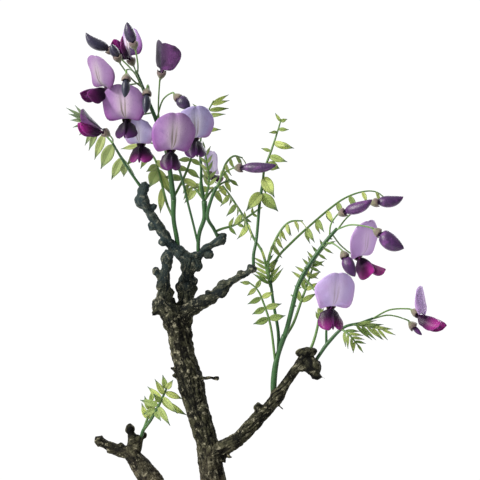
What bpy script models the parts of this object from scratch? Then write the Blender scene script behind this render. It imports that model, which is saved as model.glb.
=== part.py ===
"""A wisteria bonsai in its pot: gnarled wood, leafy shoots, two flower heads, buds, soil and a clay pot.

All places and sizes below are in millimetres, in the part's own frame: +X to the viewer's right, -Y to the
viewer, +Z up, with the origin on the ground under the middle of the pot. A path is a list of
(x, y, z, radius).
"""

import math
import random

import bmesh
import bpy
from mathutils import Matrix, Vector

MM = 0.001
GAP = 0.3
SEED = 7

POT_LENGTH = 214.0
POT_DEPTH = 162.0
POT_HEIGHT = 64.0
POT_WALL = 7.0
POT_CORNER = 30.0
POT_TAPER = 0.86
LIP_HEIGHT = 9.0
LIP_OUT = 4.0
LIP_TAPER = 0.992
# The lip stands this little above the body, so that the two tops don't lie in one plane when they are fused
LIP_RISE = 0.01
FOOT_HEIGHT = 7.0
FOOT_SIZE = 34.0
FLOOR_THICK = 8.0
EDGE_ROUNDING = 0.9
DRAIN_RADIUS = 8.0
DRAIN_AT = 48.0
SCREEN_SIZE = 26.0
SCREEN_THICK = 1.2
SCREEN_HOLE = 4.0
SCREEN_PITCH = 6.4

SOIL_EDGE = 57.0
SOIL_MOUND = 5.0
TRUNK_FOOT = (-17.0, 2.0)

SOCKET_LENGTH = 7.0
KNOBBLE = 0.1

LEAFLET_THICK = 0.7
# Half widths of a leaflet from base to tip as shares of its widest, for 3, 4 or 5 steps along it
LEAFLET_OUTLINE = {
    3: (0.0, 1.0, 0.8, 0.0),
    4: (0.0, 0.86, 1.0, 0.55, 0.0),
    5: (0.0, 0.72, 1.0, 0.86, 0.46, 0.0),
}
LEAFLET_FOLD = 0.3
LEAFLET_ARCH = 0.06
BROAD_LEAFLET = 7.0
NARROW_LEAFLET = 3.8
# The share of a rib's length past which no leaflet starts, so that its base stays in the rib
LAST_SHARE = 0.96

PETAL_THICK = 0.7
BANNER_ROWS = 5
BANNER_COLUMNS = 6
# Half widths of a banner from its claw to its top edge as shares of its widest, and how far its sides hang
# below its middle as shares of its height
BANNER_HALF_WIDTH = (0.1, 0.13, 0.68, 0.96, 1.0, 0.72)
BANNER_HANG = (0.0, 0.0, 0.26, 0.22, 0.17, 0.18)
BANNER_NOTCH = 0.05
# The rows from which and over which a banner bends from its claw's direction to its lean
BEND_FROM = 0.3
BEND_OVER = 1.2
CLAW_START = (2.6, 0.95)
CLAW_LENGTH = 3.4
CLAW_HALF_WIDTH = 1.2
KEEL_OUTLINE = (0.0, 0.7, 1.0, 0.85, 0.0)
KEEL_THICK = 2.4
WING_OUTLINE = (0.0, 0.6, 1.0, 0.95, 0.0)
WING_THICK = 1.2
# Where a wing faces (forwards, outwards and up) in a flower held level and in one that droops this far, how
# far its middle line starts from the flower's, and how much more of it lies outside that line
LEVEL_WING = (0.0, 1.0, 0.35)
DROOPING_WING = (0.5, 0.4, 0.75)
FULL_DROOP = 45.0
WING_APART = 0.5
WING_OUTWARDS = 0.5
KEEL_WIDTH = 0.5
# A bud from its foot to its tip: share of the length, share of the thickness
BUD_PROFILE = (
    (0.0, 0.0), (0.05, 0.5), (0.16, 0.56), (0.32, 0.92), (0.52, 1.0), (0.74, 0.78), (0.92, 0.36), (1.0, 0.0),
)
BUD_FOOT_RADIUS = 1.75
BUD_FLATNESS = 0.86
CALYX_RADIUS = 2.9
CALYX_DEPTH = 4.4
STALK_RADIUS = 0.55

# How much of a fused body's triangles stays, where the fusing left slivers
WOOD_KEPT = 0.55
LEAFY_KEPT = 0.56
PETALS_KEPT = 0.72
LARGEST_SCRAP = 1.0

TOWARDS_VIEWER = (0, -1, 0)
UPWARDS = (0, 0, 1)


# Scene, collections and materials


def clear_scene():
    for thing in list(bpy.data.objects):
        bpy.data.objects.remove(thing)


def new_collection(name):
    made = bpy.data.collections.new(name)
    bpy.context.scene.collection.children.link(made)
    return made


def material(name, colour, roughness):
    made = bpy.data.materials.new(name)
    made.use_nodes = True
    shader = made.node_tree.nodes["Principled BSDF"]
    shader.inputs["Base Color"].default_value = (*colour, 1.0)
    shader.inputs["Roughness"].default_value = roughness
    shader.inputs["Metallic"].default_value = 0.0
    made.diffuse_color = (*colour, 1.0)
    return made


clear_scene()
BONSAI = new_collection("wisteria_bonsai")
CUTTERS = new_collection("cutters")
CLAY = material("clay", (0.13, 0.075, 0.05), 0.75)
SOIL = material("soil", (0.05, 0.035, 0.025), 0.95)
MESH_PLASTIC = material("mesh_plastic", (0.03, 0.03, 0.03), 0.6)
BARK = material("bark", (0.075, 0.062, 0.045), 0.9)
GREEN = material("green", (0.23, 0.36, 0.09), 0.55)
LAVENDER = material("lavender", (0.5, 0.33, 0.68), 0.6)
AUBERGINE = material("aubergine", (0.07, 0.018, 0.1), 0.5)
ASTRAY = []


# Small geometry helpers


def smooth(path, steps):
    """Points on a Catmull-Rom curve through the path, radius included, so many steps to each stretch."""
    points = [Vector(p) for p in path]
    ends = [2 * points[0] - points[1], *points, 2 * points[-1] - points[-2]]
    made = []
    for before, a, b, after in zip(ends, ends[1:], ends[2:], ends[3:]):
        for step in range(steps):
            t = step / steps
            made.append(
                0.5 * (2 * a + (b - before) * t + (2 * before - 5 * a + 4 * b - after) * t**2
                       + (3 * a - before - 3 * b + after) * t**3)
            )
    return [*made, points[-1]]


def along(points, share):
    """The place and direction at this share of the length of a list of points."""
    places = [Vector(p[:3]) for p in points]
    lengths = [(b - a).length for a, b in zip(places, places[1:])]
    left = share * sum(lengths)
    for a, b, length in zip(places, places[1:], lengths):
        if left <= length:
            return a.lerp(b, left / length), (b - a).normalized()
        left -= length
    return places[-1], (places[-1] - places[-2]).normalized()


def frame_along(direction, face):
    """A rotation with X along the direction and Z as near to the face as it can be."""
    x = Vector(direction).normalized()
    z = Vector(face) - Vector(face).dot(x) * x
    if z.length < 0.05:
        z = x.orthogonal()
    z.normalize()
    return Matrix((x, z.cross(x), z)).transposed()


def loose(shape):
    """A loose object in the cutters' collection, to be fused, cut with or given its place in the bonsai."""
    made = bpy.data.objects.new("piece", shape)
    CUTTERS.objects.link(made)
    return made


def evaluated_mesh(thing):
    bpy.context.view_layer.update()
    graph = bpy.context.evaluated_depsgraph_get()
    mesh = bpy.data.meshes.new_from_object(thing.evaluated_get(graph))
    mesh.transform(thing.matrix_world)
    return mesh


def weld_and_face_out(mesh):
    shape = bmesh.new()
    shape.from_mesh(mesh)
    bmesh.ops.remove_doubles(shape, verts=shape.verts, dist=1e-6)
    bmesh.ops.recalc_face_normals(shape, faces=shape.faces)
    shape.to_mesh(mesh)
    shape.free()
    return mesh


def tube(path, steps=2, sides=6):
    """A closed tube with this many sides along a smooth curve through the path."""
    points = smooth(path, steps)
    curve = bpy.data.curves.new("tube", "CURVE")
    curve.dimensions = "3D"
    curve.bevel_depth = MM
    curve.bevel_resolution = (sides - 4) // 2
    curve.use_fill_caps = True
    spline = curve.splines.new("POLY")
    spline.points.add(len(points) - 1)
    for spot, (x, y, z, radius) in zip(spline.points, points):
        spot.co = (x * MM, y * MM, z * MM, 1.0)
        spot.radius = radius
    holder = loose(curve)
    mesh = weld_and_face_out(evaluated_mesh(holder))
    bpy.data.objects.remove(holder)
    return loose(mesh)


def ball(centre, sizes, direction):
    """A lump of wood: a sphere with three radii, turned along the direction, its surface moved in and out."""
    shape = bmesh.new()
    bmesh.ops.create_icosphere(shape, subdivisions=2 if max(sizes) > 5 else 1, radius=1.0)
    place = Matrix.Translation(Vector(centre)) @ frame_along(direction, UPWARDS).to_4x4()
    for spot in shape.verts:
        wave = math.sin(4 * spot.co.x + 1) + math.sin(5 * spot.co.y + 2) + math.sin(4 * spot.co.z)
        point = Vector(c * s for c, s in zip(spot.co, sizes)) * (1 + KNOBBLE * wave / 3)
        spot.co = place @ point * MM
    mesh = bpy.data.meshes.new("ball")
    shape.to_mesh(mesh)
    shape.free()
    return loose(mesh)


def fuse(name, pieces, colour, share_kept=1.0):
    """One body from pieces that overlap each other, in one Boolean union, thinned where asked."""
    body = pieces[0]
    group = new_collection("to_fuse")
    for piece in pieces[1:]:
        CUTTERS.objects.unlink(piece)
        group.objects.link(piece)
    union = body.modifiers.new("union", "BOOLEAN")
    union.operation = "UNION"
    union.operand_type = "COLLECTION"
    union.collection = group
    union.solver = "MANIFOLD"
    if share_kept < 1:
        thinned = body.modifiers.new("thinned", "DECIMATE")
        thinned.ratio = share_kept
    mesh = evaluated_mesh(body)
    for piece in pieces:
        bpy.data.objects.remove(piece)
    bpy.data.collections.remove(group)
    return finish(name, keep_largest(mesh, name), colour)


def keep_largest(mesh, name):
    """Keeps the one outer skin: drops skins of sealed hollows and loose scraps, and notes large ones."""
    shape = bmesh.new()
    shape.from_mesh(mesh)
    bmesh.ops.triangulate(shape, faces=shape.faces)
    islands, seen = [], set()
    for start in shape.verts:
        if start in seen:
            continue
        island, queue = [], [start]
        seen.add(start)
        while queue:
            spot = queue.pop()
            island.append(spot)
            fresh = {edge.other_vert(spot) for edge in spot.link_edges} - seen
            seen |= fresh
            queue.extend(fresh)
        islands.append(island)
    islands.sort(key=len, reverse=True)
    for island in islands[1:]:
        if skin_volume(island) > LARGEST_SCRAP:
            ASTRAY.append((name, tuple(round(c / MM) for c in island[0].co)))
    bmesh.ops.delete(shape, geom=[spot for island in islands[1:] for spot in island], context="VERTS")
    shape.to_mesh(mesh)
    shape.free()
    return mesh


def skin_volume(island):
    """The volume in cubic millimetres inside an island of points: below nothing for the skin of a hollow."""
    faces = {face for spot in island for face in spot.link_faces}
    corners = ([loop.vert.co for loop in face.loops] for face in faces)
    return sum(a.dot(b.cross(c)) for a, b, c in corners) / 6 / MM**3


def finish(name, mesh, colour):
    """The finished sub-part: its mesh in the bonsai's collection, with its material and smooth shading."""
    mesh.name = name
    mesh.materials.clear()
    mesh.materials.append(colour)
    mesh.shade_smooth()
    mesh.set_sharp_from_angle(angle=math.radians(40))
    made = bpy.data.objects.new(name, mesh)
    BONSAI.objects.link(made)
    return made


def cut(thing, cutters, operation="DIFFERENCE", solver="EXACT"):
    """Cuts the thing with each cutter in turn, by a Boolean that stays on it, and hides the cutters."""
    for cutter in cutters:
        cutter.hide_render = True
        cutter.display_type = "WIRE"
        boolean = thing.modifiers.new("cut", "BOOLEAN")
        boolean.operation = operation
        boolean.solver = solver
        boolean.object = cutter


# Pot, drain screens and soil


def rounded_block(length, depth, low, high, corner, taper=1.0, segments=4):
    """A block with round upright corners between two heights, its foot narrower by the taper."""
    shape = bmesh.new()
    bmesh.ops.create_cube(shape, size=1.0)
    for spot in shape.verts:
        spot.co = Vector((spot.co.x * length, spot.co.y * depth, low if spot.co.z < 0 else high))
    upright = [e for e in shape.edges if abs(e.verts[0].co.z - e.verts[1].co.z) > 0.1]
    if corner:
        bmesh.ops.bevel(shape, geom=upright, offset=corner, segments=segments, profile=0.5, affect="EDGES")
    for spot in shape.verts:
        if spot.co.z < (low + high) / 2:
            spot.co.x *= taper
            spot.co.y *= taper
    shape.transform(Matrix.Scale(MM, 4))
    mesh = bpy.data.meshes.new("block")
    shape.to_mesh(mesh)
    shape.free()
    return loose(mesh)


def cylinder(x, y, low, high, radius, sides=16):
    shape = bmesh.new()
    bmesh.ops.create_cone(
        shape, cap_ends=True, segments=sides, radius1=radius, radius2=radius, depth=high - low
    )
    shape.transform(Matrix.Scale(MM, 4) @ Matrix.Translation((x, y, (low + high) / 2)))
    mesh = bpy.data.meshes.new("cylinder")
    shape.to_mesh(mesh)
    shape.free()
    return loose(mesh)


def taper_at(z):
    """How much narrower the pot's outside is at this height than at its rim."""
    share = (z - FOOT_HEIGHT) / (POT_HEIGHT - FOOT_HEIGHT)
    return POT_TAPER + (1 - POT_TAPER) * share


def cavity_block(low, high, clearance):
    """The pot's inside between two heights, with this much taken off all round."""
    inset = 2 * (POT_WALL + clearance)
    ratio = taper_at(low) / taper_at(high)
    width = POT_LENGTH * taper_at(high) - inset
    depth = POT_DEPTH * taper_at(high) - inset
    return rounded_block(width, depth, low, high, POT_CORNER - POT_WALL, ratio)


def foot(side_x, side_y):
    """A corner foot, its outer corner rounded like the pot's."""
    x = side_x * (POT_LENGTH * POT_TAPER - FOOT_SIZE) / 2
    y = side_y * (POT_DEPTH * POT_TAPER - FOOT_SIZE) / 2
    block = rounded_block(FOOT_SIZE - 4, FOOT_SIZE - 4, 0, FOOT_HEIGHT + 3, corner=8, taper=0.9, segments=2)
    block.data.transform(Matrix.Translation((x * MM, y * MM, 0)))
    return block


def drain_places():
    return [(-DRAIN_AT, 0), (DRAIN_AT, 0)]


def make_pot():
    body = rounded_block(POT_LENGTH, POT_DEPTH, FOOT_HEIGHT, POT_HEIGHT, POT_CORNER, POT_TAPER)
    lip_low = POT_HEIGHT - LIP_HEIGHT
    length, depth = POT_LENGTH + 2 * LIP_OUT, POT_DEPTH + 2 * LIP_OUT
    lip = rounded_block(length, depth, lip_low, POT_HEIGHT + LIP_RISE, POT_CORNER + LIP_OUT, LIP_TAPER)
    feet = [foot(i, j) for i in (-1, 1) for j in (-1, 1)]
    pot = fuse("pot", [body, lip, *feet], CLAY)
    inside = cavity_block(FOOT_HEIGHT + FLOOR_THICK, POT_HEIGHT + 5, 0)
    drains = [cylinder(x, y, 0, FOOT_HEIGHT + FLOOR_THICK + 5, DRAIN_RADIUS) for x, y in drain_places()]
    cut(pot, [inside, *drains])
    edges = pot.modifiers.new("fired_edges", "BEVEL")
    edges.width = EDGE_ROUNDING * MM
    edges.segments = 1
    edges.limit_method = "ANGLE"
    edges.angle_limit = math.radians(50)


def make_screen(name, x, y):
    """A square of plastic mesh over a drain hole, on the pot's floor."""
    low = FOOT_HEIGHT + FLOOR_THICK + GAP
    plate = rounded_block(SCREEN_SIZE, SCREEN_SIZE, low, low + SCREEN_THICK, 2, segments=1)
    plate.data.transform(Matrix.Translation((x * MM, y * MM, 0)))
    screen = finish(name, plate.data, MESH_PLASTIC)
    bpy.data.objects.remove(plate)
    holes = []
    for side_x in (-1, 1):
        for side_y in (-1, 1):
            hole = rounded_block(SCREEN_HOLE, SCREEN_HOLE, low - 1, low + SCREEN_THICK + 1, corner=0)
            at = Vector((x + side_x * SCREEN_PITCH / 2, y + side_y * SCREEN_PITCH / 2, 0))
            hole.data.transform(Matrix.Translation(at * MM))
            holes.append(hole)
    cut(screen, holes)


def soil_height(x, y):
    """The mounded surface: highest at the trunk, with a little unevenness."""
    away = math.hypot(x - TRUNK_FOOT[0], 1.2 * (y - TRUNK_FOOT[1]))
    unevenness = 0.7 * math.sin(x / 11 + 1) * math.sin(y / 13) + 0.4 * math.sin(x / 5 + y / 7)
    return SOIL_EDGE + SOIL_MOUND * math.exp(-((away / 45) ** 2)) + unevenness


def make_soil():
    """A block with a mounded top, kept to the pot's inside, and cut for the root base and the screens."""
    floor = FOOT_HEIGHT + FLOOR_THICK + GAP
    shape = bmesh.new()
    bmesh.ops.create_grid(shape, x_segments=9, y_segments=7, size=1.0)
    for spot in shape.verts:
        spot.co.x *= POT_LENGTH / 2
        spot.co.y *= POT_DEPTH / 2
        spot.co.z = soil_height(spot.co.x, spot.co.y)
    bmesh.ops.triangulate(shape, faces=shape.faces)
    skin = list(shape.faces)
    made = bmesh.ops.extrude_face_region(shape, geom=skin, use_keep_orig=True)
    for spot in made["geom"]:
        if isinstance(spot, bmesh.types.BMVert):
            spot.co.z = 0
    bmesh.ops.recalc_face_normals(shape, faces=shape.faces)
    bmesh.ops.dissolve_limit(shape, angle_limit=math.radians(1), verts=shape.verts, edges=shape.edges)
    shape.transform(Matrix.Scale(MM, 4))
    mesh = bpy.data.meshes.new("soil")
    shape.to_mesh(mesh)
    shape.free()
    soil = finish("soil", mesh, SOIL)
    cut(soil, [cavity_block(floor, POT_HEIGHT + 4, GAP)], "INTERSECT")
    screen_top = floor + SCREEN_THICK + GAP
    over_screens = []
    for x, y in drain_places():
        size = SCREEN_SIZE + 2 * GAP
        room = rounded_block(size, size, floor - 1, screen_top, 2, segments=1)
        room.data.transform(Matrix.Translation((x * MM, y * MM, 0)))
        over_screens.append(room)
    cut(soil, [*over_screens, root_base_cutter()], solver="MANIFOLD")


# Wood: trunk, roots, branches, stubs and knobs


TRUNK = [
    (-16, 3, 34, 12.0), (-17, 2, 52, 13.5), (-18, 2, 66, 12.5), (-20, 1, 82, 10.4), (-24, 0, 110, 9.2),
    (-27, 0, 136, 8.5), (-31, 1, 160, 7.3), (-37, 3, 180, 7.8), (-42, 5, 200, 8.6), (-47, 6, 218, 7.3),
    (-49, 5, 233, 8.0), (-52, 3, 243, 8.2),
]
BRANCHES = {
    "left_stub": [
        (-51, 3, 240, 7.5), (-57, 1, 248, 6.4), (-60, -2, 253, 5.6), (-59, -4, 260, 4.0), (-59, -6, 266, 4.4),
        (-58, -7, 272, 2.9), (-57, -8, 277, 3.2),
    ],
    "middle": [
        (-48, 4, 241, 7.6), (-45, 4, 251, 5.0), (-44, 5, 262, 5.8), (-44, 5, 271, 4.0), (-42, 5, 280, 5.8),
    ],
    "left_limb": [
        (-43, 5, 279, 5.2), (-49, 5, 284, 4.2), (-57, 3, 292, 3.4), (-62, 1, 301, 3.3), (-69, -1, 311, 3.0),
        (-73, -2, 318, 3.4), (-73, -2, 326, 2.6),
    ],
    "right_stub": [(-43, 5, 277, 4.5), (-36, 7, 284, 3.1), (-29, 9, 289, 2.6), (-23, 10, 292, 3.0)],
    "small_right": [
        (-48, 3, 245, 6.0), (-41, 1, 249, 5.2), (-32, -3, 253, 4.6), (-27, -5, 256, 3.6), (-21, -7, 261, 3.6),
        (-15, -9, 266, 2.5), (-8, -11, 270, 2.1), (-2, -13, 273, 2.0),
    ],
    "main_right": [
        (-31, 1, 151, 6.6), (-25, -1, 155, 6.0), (-18, -3, 159, 5.4), (-10, -5, 164, 4.8), (-1, -7, 174, 5.2),
        (7, -8, 182, 4.2), (14, -9, 190, 4.4), (20, -10, 200, 3.2), (26, -11, 209, 3.2), (31, -12, 215, 3.8),
        (33, -12, 219, 3.0),
    ],
    "lower_left": [
        (-22, 3, 98, 7.5), (-34, 9, 101, 7.2), (-47, 14, 109, 6.6), (-59, 17, 121, 7.2), (-68, 19, 134, 8.2),
        (-75, 20, 144, 7.0), (-80, 20, 150, 5.6), (-83, 20, 154, 4.6),
    ],
    "lower_left_arm": [(-82, 20, 152, 4.8), (-90, 22, 154, 4.3), (-97, 23, 157, 3.2), (-101, 24, 159, 3.2)],
    "lower_left_rise": [(-82, 20, 152, 4.6), (-80, 19, 159, 3.9), (-81, 18, 165, 2.8)],
    "young_shoot_spur": [(-79, 19, 152, 4.0), (-77, 19, 158, 3.2), (-75, 19, 164, 2.8)],
    "trunk_twig": [(-40, 2, 203, 2.2), (-36, -2, 203, 1.3), (-31, -4, 203, 1.0), (-27, -5, 203, 1.4)],
    "stub_spur": [(-58, 1, 246, 2.6), (-63, 0, 246, 2.2), (-67, 0, 244, 1.6)],
    "tip_whisker": [(38, -12, 209, 1.6), (41, -13, 206, 0.9), (45, -14, 203, 0.5)],
}
# Each knob, bud or scar: its centre, three radii, and the direction of the first of them
LUMPS = [
    ((-57, -8, 280), (6.9, 4.2, 4.2), (0, 0, 1)),
    ((-63.5, -6, 271), (4.6, 2.6, 2.6), (-0.3, 0, 1)),
    ((-61, -8, 264), (4.4, 3.2, 3.6), (1, 0, 1)),
    ((-55, -4, 258), (3.8, 3.0, 3.0), (0, 0, 1)),
    ((-59, 2, 250), (8.4, 6.0, 6.4), (1, 0, 0.3)),
    ((-53, 1, 240), (7.0, 7.8, 8.4), (1, 0, 0.4)),
    ((-46, 4, 262), (6.4, 6.8, 4.6), (1, 0, 0)),
    ((-40, 3, 266), (3.8, 4.0, 3.4), (1, 0, 0)),
    ((-49, 3, 283), (4.6, 4.4, 3.4), (0.4, 0, 1)),
    ((-38, 4, 276), (4.4, 4.0, 3.4), (1, 0, 0.5)),
    ((-73, -2, 318), (5.8, 5.0, 4.6), (-0.5, 0, 1)),
    ((-72, -2, 327), (4.2, 3.7, 4.1), (0, 0, 1)),
    ((-66, -2, 314), (3.2, 2.6, 2.6), (1, 0, 0)),
    ((-67, 0, 301), (3.6, 2.8, 2.8), (-1, 0, 0.5)),
    ((-60, 1, 291), (3.6, 2.6, 2.8), (-1, 0, 0.3)),
    ((-22, 10, 293), (4.9, 4.4, 4.2), (1, 0, 0.5)),
    ((-30, 7, 283), (4.0, 3.0, 3.0), (1, 0, 0.5)),
    ((-21, -8, 261), (6.2, 4.6, 4.4), (0.4, 0, 1)),
    ((-30, -6, 257), (3.6, 3.0, 2.8), (0, 0, 1)),
    ((-2, -13, 274), (3.9, 3.5, 3.4), (1, 0, 1)),
    ((-10, -12, 271), (2.8, 2.4, 2.2), (1, 0, 1)),
    ((14, -11, 192), (5.6, 5.0, 4.8), (1, 0, 1)),
    ((2, -9, 184), (4.2, 3.4, 3.4), (0.3, 0, 1)),
    ((17, -8, 184), (3.0, 0.9, 0.9), (1, 0, -1)),
    ((33, -13, 220), (7.6, 4.6, 3.4), (1, 0, 0.1)),
    ((37, -13, 211), (6.8, 5.8, 5.8), (0.6, 0, -1)),
    ((39, -14, 205), (4.4, 3.8, 3.2), (1, 0, -1)),
    ((31, -12, 210), (3.4, 3.0, 3.6), (0, 0, 1)),
    ((-17, -5, 152), (2.6, 1.6, 1.4), (1, 0, -0.3)),
    ((-20, -4, 150), (3.6, 1.8, 1.8), (0.3, 0, -1)),
    ((-24, -3, 156), (5.4, 4.8, 4.6), (1, 0, 0.3)),
    ((-33, -4, 181), (3.6, 2.8, 4.2), (1, 0, 0)),
    ((-52.5, 4, 208), (3.2, 1.5, 1.5), (-1, 0, 0.4)),
    ((-51.5, 5, 204), (3.0, 1.4, 1.4), (-1, 0, 0)),
    ((-25, -5, 203), (2.8, 2.1, 2.0), (1, 0, 0)),
    ((-102, 24, 160), (4.6, 4.2, 4.2), (-1, 0, 0.4)),
    ((-82, 18, 168), (4.8, 3.3, 3.3), (-0.3, 0, 1)),
    ((-73, 21, 164), (3.0, 2.3, 2.3), (0, 0, 1)),
    ((-88, 20, 157), (3.2, 2.8, 2.6), (-0.4, 0, 1)),
    ((-95, 21, 154), (3.0, 2.4, 2.4), (-1, 0, -1)),
    ((-68, 16, 131), (6.0, 5.0, 6.0), (0, 0, 1)),
    ((-27, -5, 120), (4.4, 3.4, 5.0), (0, 0, 1)),
    ((-13, 0, 92), (3.6, 3.6, 5.0), (0, 0, 1)),
]
# Surface roots: the bearing in degrees, the reach from the trunk's middle and the thickness at the trunk
ROOTS = [
    (8, 42, 5.6), (55, 34, 5.0), (108, 36, 5.4), (160, 40, 5.8), (205, 44, 6.4), (258, 33, 5.0),
    (310, 36, 6.0),
]


def root(bearing, reach, thick, extra):
    """A root that leaves the trunk's foot, runs over the mound and dips into the soil."""
    turn = math.radians(bearing)
    x, y = TRUNK_FOOT
    path = []
    for share, over, radius in ((0.1, 9, 1.1), (0.38, 3.4, 0.86), (0.66, 0.2, 0.6), (1.0, -5, 0.3)):
        bend = turn + 0.35 * share * math.sin(3 * turn)
        at_x = x + share * reach * math.cos(bend)
        at_y = y + share * reach * math.sin(bend)
        path.append((at_x, at_y, soil_height(at_x, at_y) + over, thick * radius + extra))
    return tube(path, steps=1, sides=6)


def root_base(extra=0.0):
    """The trunk's foot with its roots, or with some extra the hole that they stand in."""
    stump = [(x, y, z - extra * (i == 0), r + extra) for i, (x, y, z, r) in enumerate(TRUNK[:4])]
    return [tube(stump, steps=1, sides=12), *(root(*each, extra) for each in ROOTS)]


def root_base_cutter():
    cutter = fuse("root_hole", root_base(GAP), BARK)
    BONSAI.objects.unlink(cutter)
    CUTTERS.objects.link(cutter)
    return cutter


def make_wood():
    pieces = root_base()
    pieces.append(tube(TRUNK[2:], steps=1, sides=12))
    for path in BRANCHES.values():
        pieces.append(tube(path, steps=1, sides=6 if path[0][3] < 4.5 else 8))
    pieces += [ball(*lump) for lump in LUMPS]
    return fuse("wood", pieces, BARK, WOOD_KEPT)


def sockets_for(*paths):
    """Plain holes for shoots: each a short tube along the shoot's first stretch, wider by the gap."""
    made = []
    for path in paths:
        (x, y, z, radius), (x2, y2, z2, _) = path[0], path[1]
        start, end = Vector((x, y, z)), Vector((x2, y2, z2))
        run = (end - start).normalized()
        back, front = start - GAP * run, start + SOCKET_LENGTH * run
        made.append(tube([(*back, radius + GAP), (*front, radius + GAP)], steps=1, sides=8))
    return made


# Leaflets and leaves


def leaflet(base, tip, width, face):
    """A thin pointed blade from base to tip, folded up along its rib and bent down towards its tip."""
    base, tip = Vector(base), Vector(tip)
    length = (tip - base).length
    stations = stations_for(width)
    outline = LEAFLET_OUTLINE[stations]
    place = Matrix.Translation(base) @ frame_along(tip - base, face).to_4x4()
    shape = bmesh.new()
    bmesh.ops.create_uvsphere(shape, u_segments=4, v_segments=stations, radius=1.0)
    for spot in shape.verts:
        station = round(math.acos(max(-1.0, min(1.0, spot.co.z))) / math.pi * stations)
        t = station / stations
        round_part = max(1e-6, math.sin(math.pi * t))
        across = spot.co.x / round_part if 0 < station < stations else 0.0
        through = spot.co.y / round_part if 0 < station < stations else 0.0
        half = width / 2 * outline[station]
        fold = LEAFLET_FOLD * half * abs(across)
        arch = 4 * LEAFLET_ARCH * length * t * (1 - t)
        lift = fold + arch + LEAFLET_THICK / 2 * through
        spot.co = place @ Vector((length * t, half * across, lift)) * MM
    bmesh.ops.reverse_faces(shape, faces=shape.faces)
    mesh = bpy.data.meshes.new("leaflet")
    shape.to_mesh(mesh)
    shape.free()
    return loose(mesh)


def stations_for(width):
    """Broad leaflets get a rounder outline than the narrow folded ones of a young leaf."""
    if width > BROAD_LEAFLET:
        return 5
    return 4 if width > NARROW_LEAFLET else 3


def placed_leaf(path, leaflets):
    """A leaf whose leaflets are placed one by one: share of the rib's length, tip and width."""
    points = smooth(path, 3)
    pieces = [tube(path, steps=1, sides=4)]
    for share, tip, width in leaflets:
        base, _ = along(points, min(share, LAST_SHARE))
        pieces.append(leaflet(base, tip, width, TOWARDS_VIEWER))
    return pieces


def paired_leaf(
    path, pairs, length, width, start, spread=55, hang=0.3, face=TOWARDS_VIEWER, taper=0.45, *, seed
):
    """A leaf with pairs of leaflets along its rib and one at its end, shorter towards the tip."""
    draw = random.Random(SEED + seed)
    points = smooth(path, 3)
    pieces = [tube(path, steps=1, sides=4)]
    for pair in range(pairs + 1):
        share = start + (1 - start) * pair / pairs
        base, run = along(points, min(share, LAST_SHARE))
        normal = (Vector(face) - Vector(face).dot(run) * run).normalized()
        outwards = run.cross(normal)
        size = 1 - taper * pair / pairs
        for side in (0,) if pair == pairs else (-1, 1):
            angle = math.radians(spread * abs(side) + draw.uniform(-6, 6))
            aim = math.cos(angle) * run + side * math.sin(angle) * outwards
            aim = (aim + Vector((0, 0, -hang))).normalized()
            reach = length * size * draw.uniform(0.9, 1.08)
            pieces.append(leaflet(base, base + reach * aim, width * size, normal))
    return pieces


# Flowers and buds


def calyx_mesh():
    """The green cup that holds a flower, turned about Z, with its foot at the origin."""
    profile = [
        (0.0, CALYX_DEPTH * 0.24), (CALYX_RADIUS - 0.8, CALYX_DEPTH * 0.4), (CALYX_RADIUS - 0.6, CALYX_DEPTH),
        (CALYX_RADIUS, CALYX_DEPTH), (CALYX_RADIUS - 0.2, CALYX_DEPTH * 0.4), (0.0, -0.3),
    ]
    shape = bmesh.new()
    spots = [shape.verts.new((x * MM, 0, z * MM)) for x, z in profile]
    for a, b in zip(spots, spots[1:]):
        shape.edges.new((a, b))
    mesh = bpy.data.meshes.new("calyx")
    shape.to_mesh(mesh)
    shape.free()
    turned = loose(mesh)
    screw = turned.modifiers.new("turn", "SCREW")
    screw.steps = 7
    screw.render_steps = 7
    screw.use_merge_vertices = True
    screw.merge_threshold = 1e-6
    made = weld_and_face_out(evaluated_mesh(turned))
    bpy.data.objects.remove(turned)
    return made


CALYX = calyx_mesh()


def calyx(foot_at, axis):
    """A calyx with its foot at a place and its mouth along the axis."""
    mesh = CALYX.copy()
    turn = Vector((0, 0, 1)).rotation_difference(Vector(axis)).to_matrix().to_4x4()
    mesh.transform(Matrix.Translation(Vector(foot_at) * MM) @ turn)
    return loose(mesh)


def stalk(start, foot_at, axis):
    """A flower stalk that leaves a stem at the start and comes into the calyx's foot along its axis."""
    start, end, axis = Vector(start), Vector(foot_at), Vector(axis).normalized()
    reach = 0.35 * (end - start).length
    middle = start.lerp(end - reach * axis, 0.62)
    path = [(*p, STALK_RADIUS) for p in (start, middle, end - 0.3 * reach * axis)]
    path.append((*(end + 0.5 * axis), STALK_RADIUS * 1.5))
    return tube(path, steps=2, sides=4)


def flower_frame(foot_at, axis, up):
    """Local X along the flower's axis, Z towards its banner, the origin at the calyx's foot."""
    return Matrix.Translation(Vector(foot_at)) @ frame_along(axis, up).to_4x4()


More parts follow.
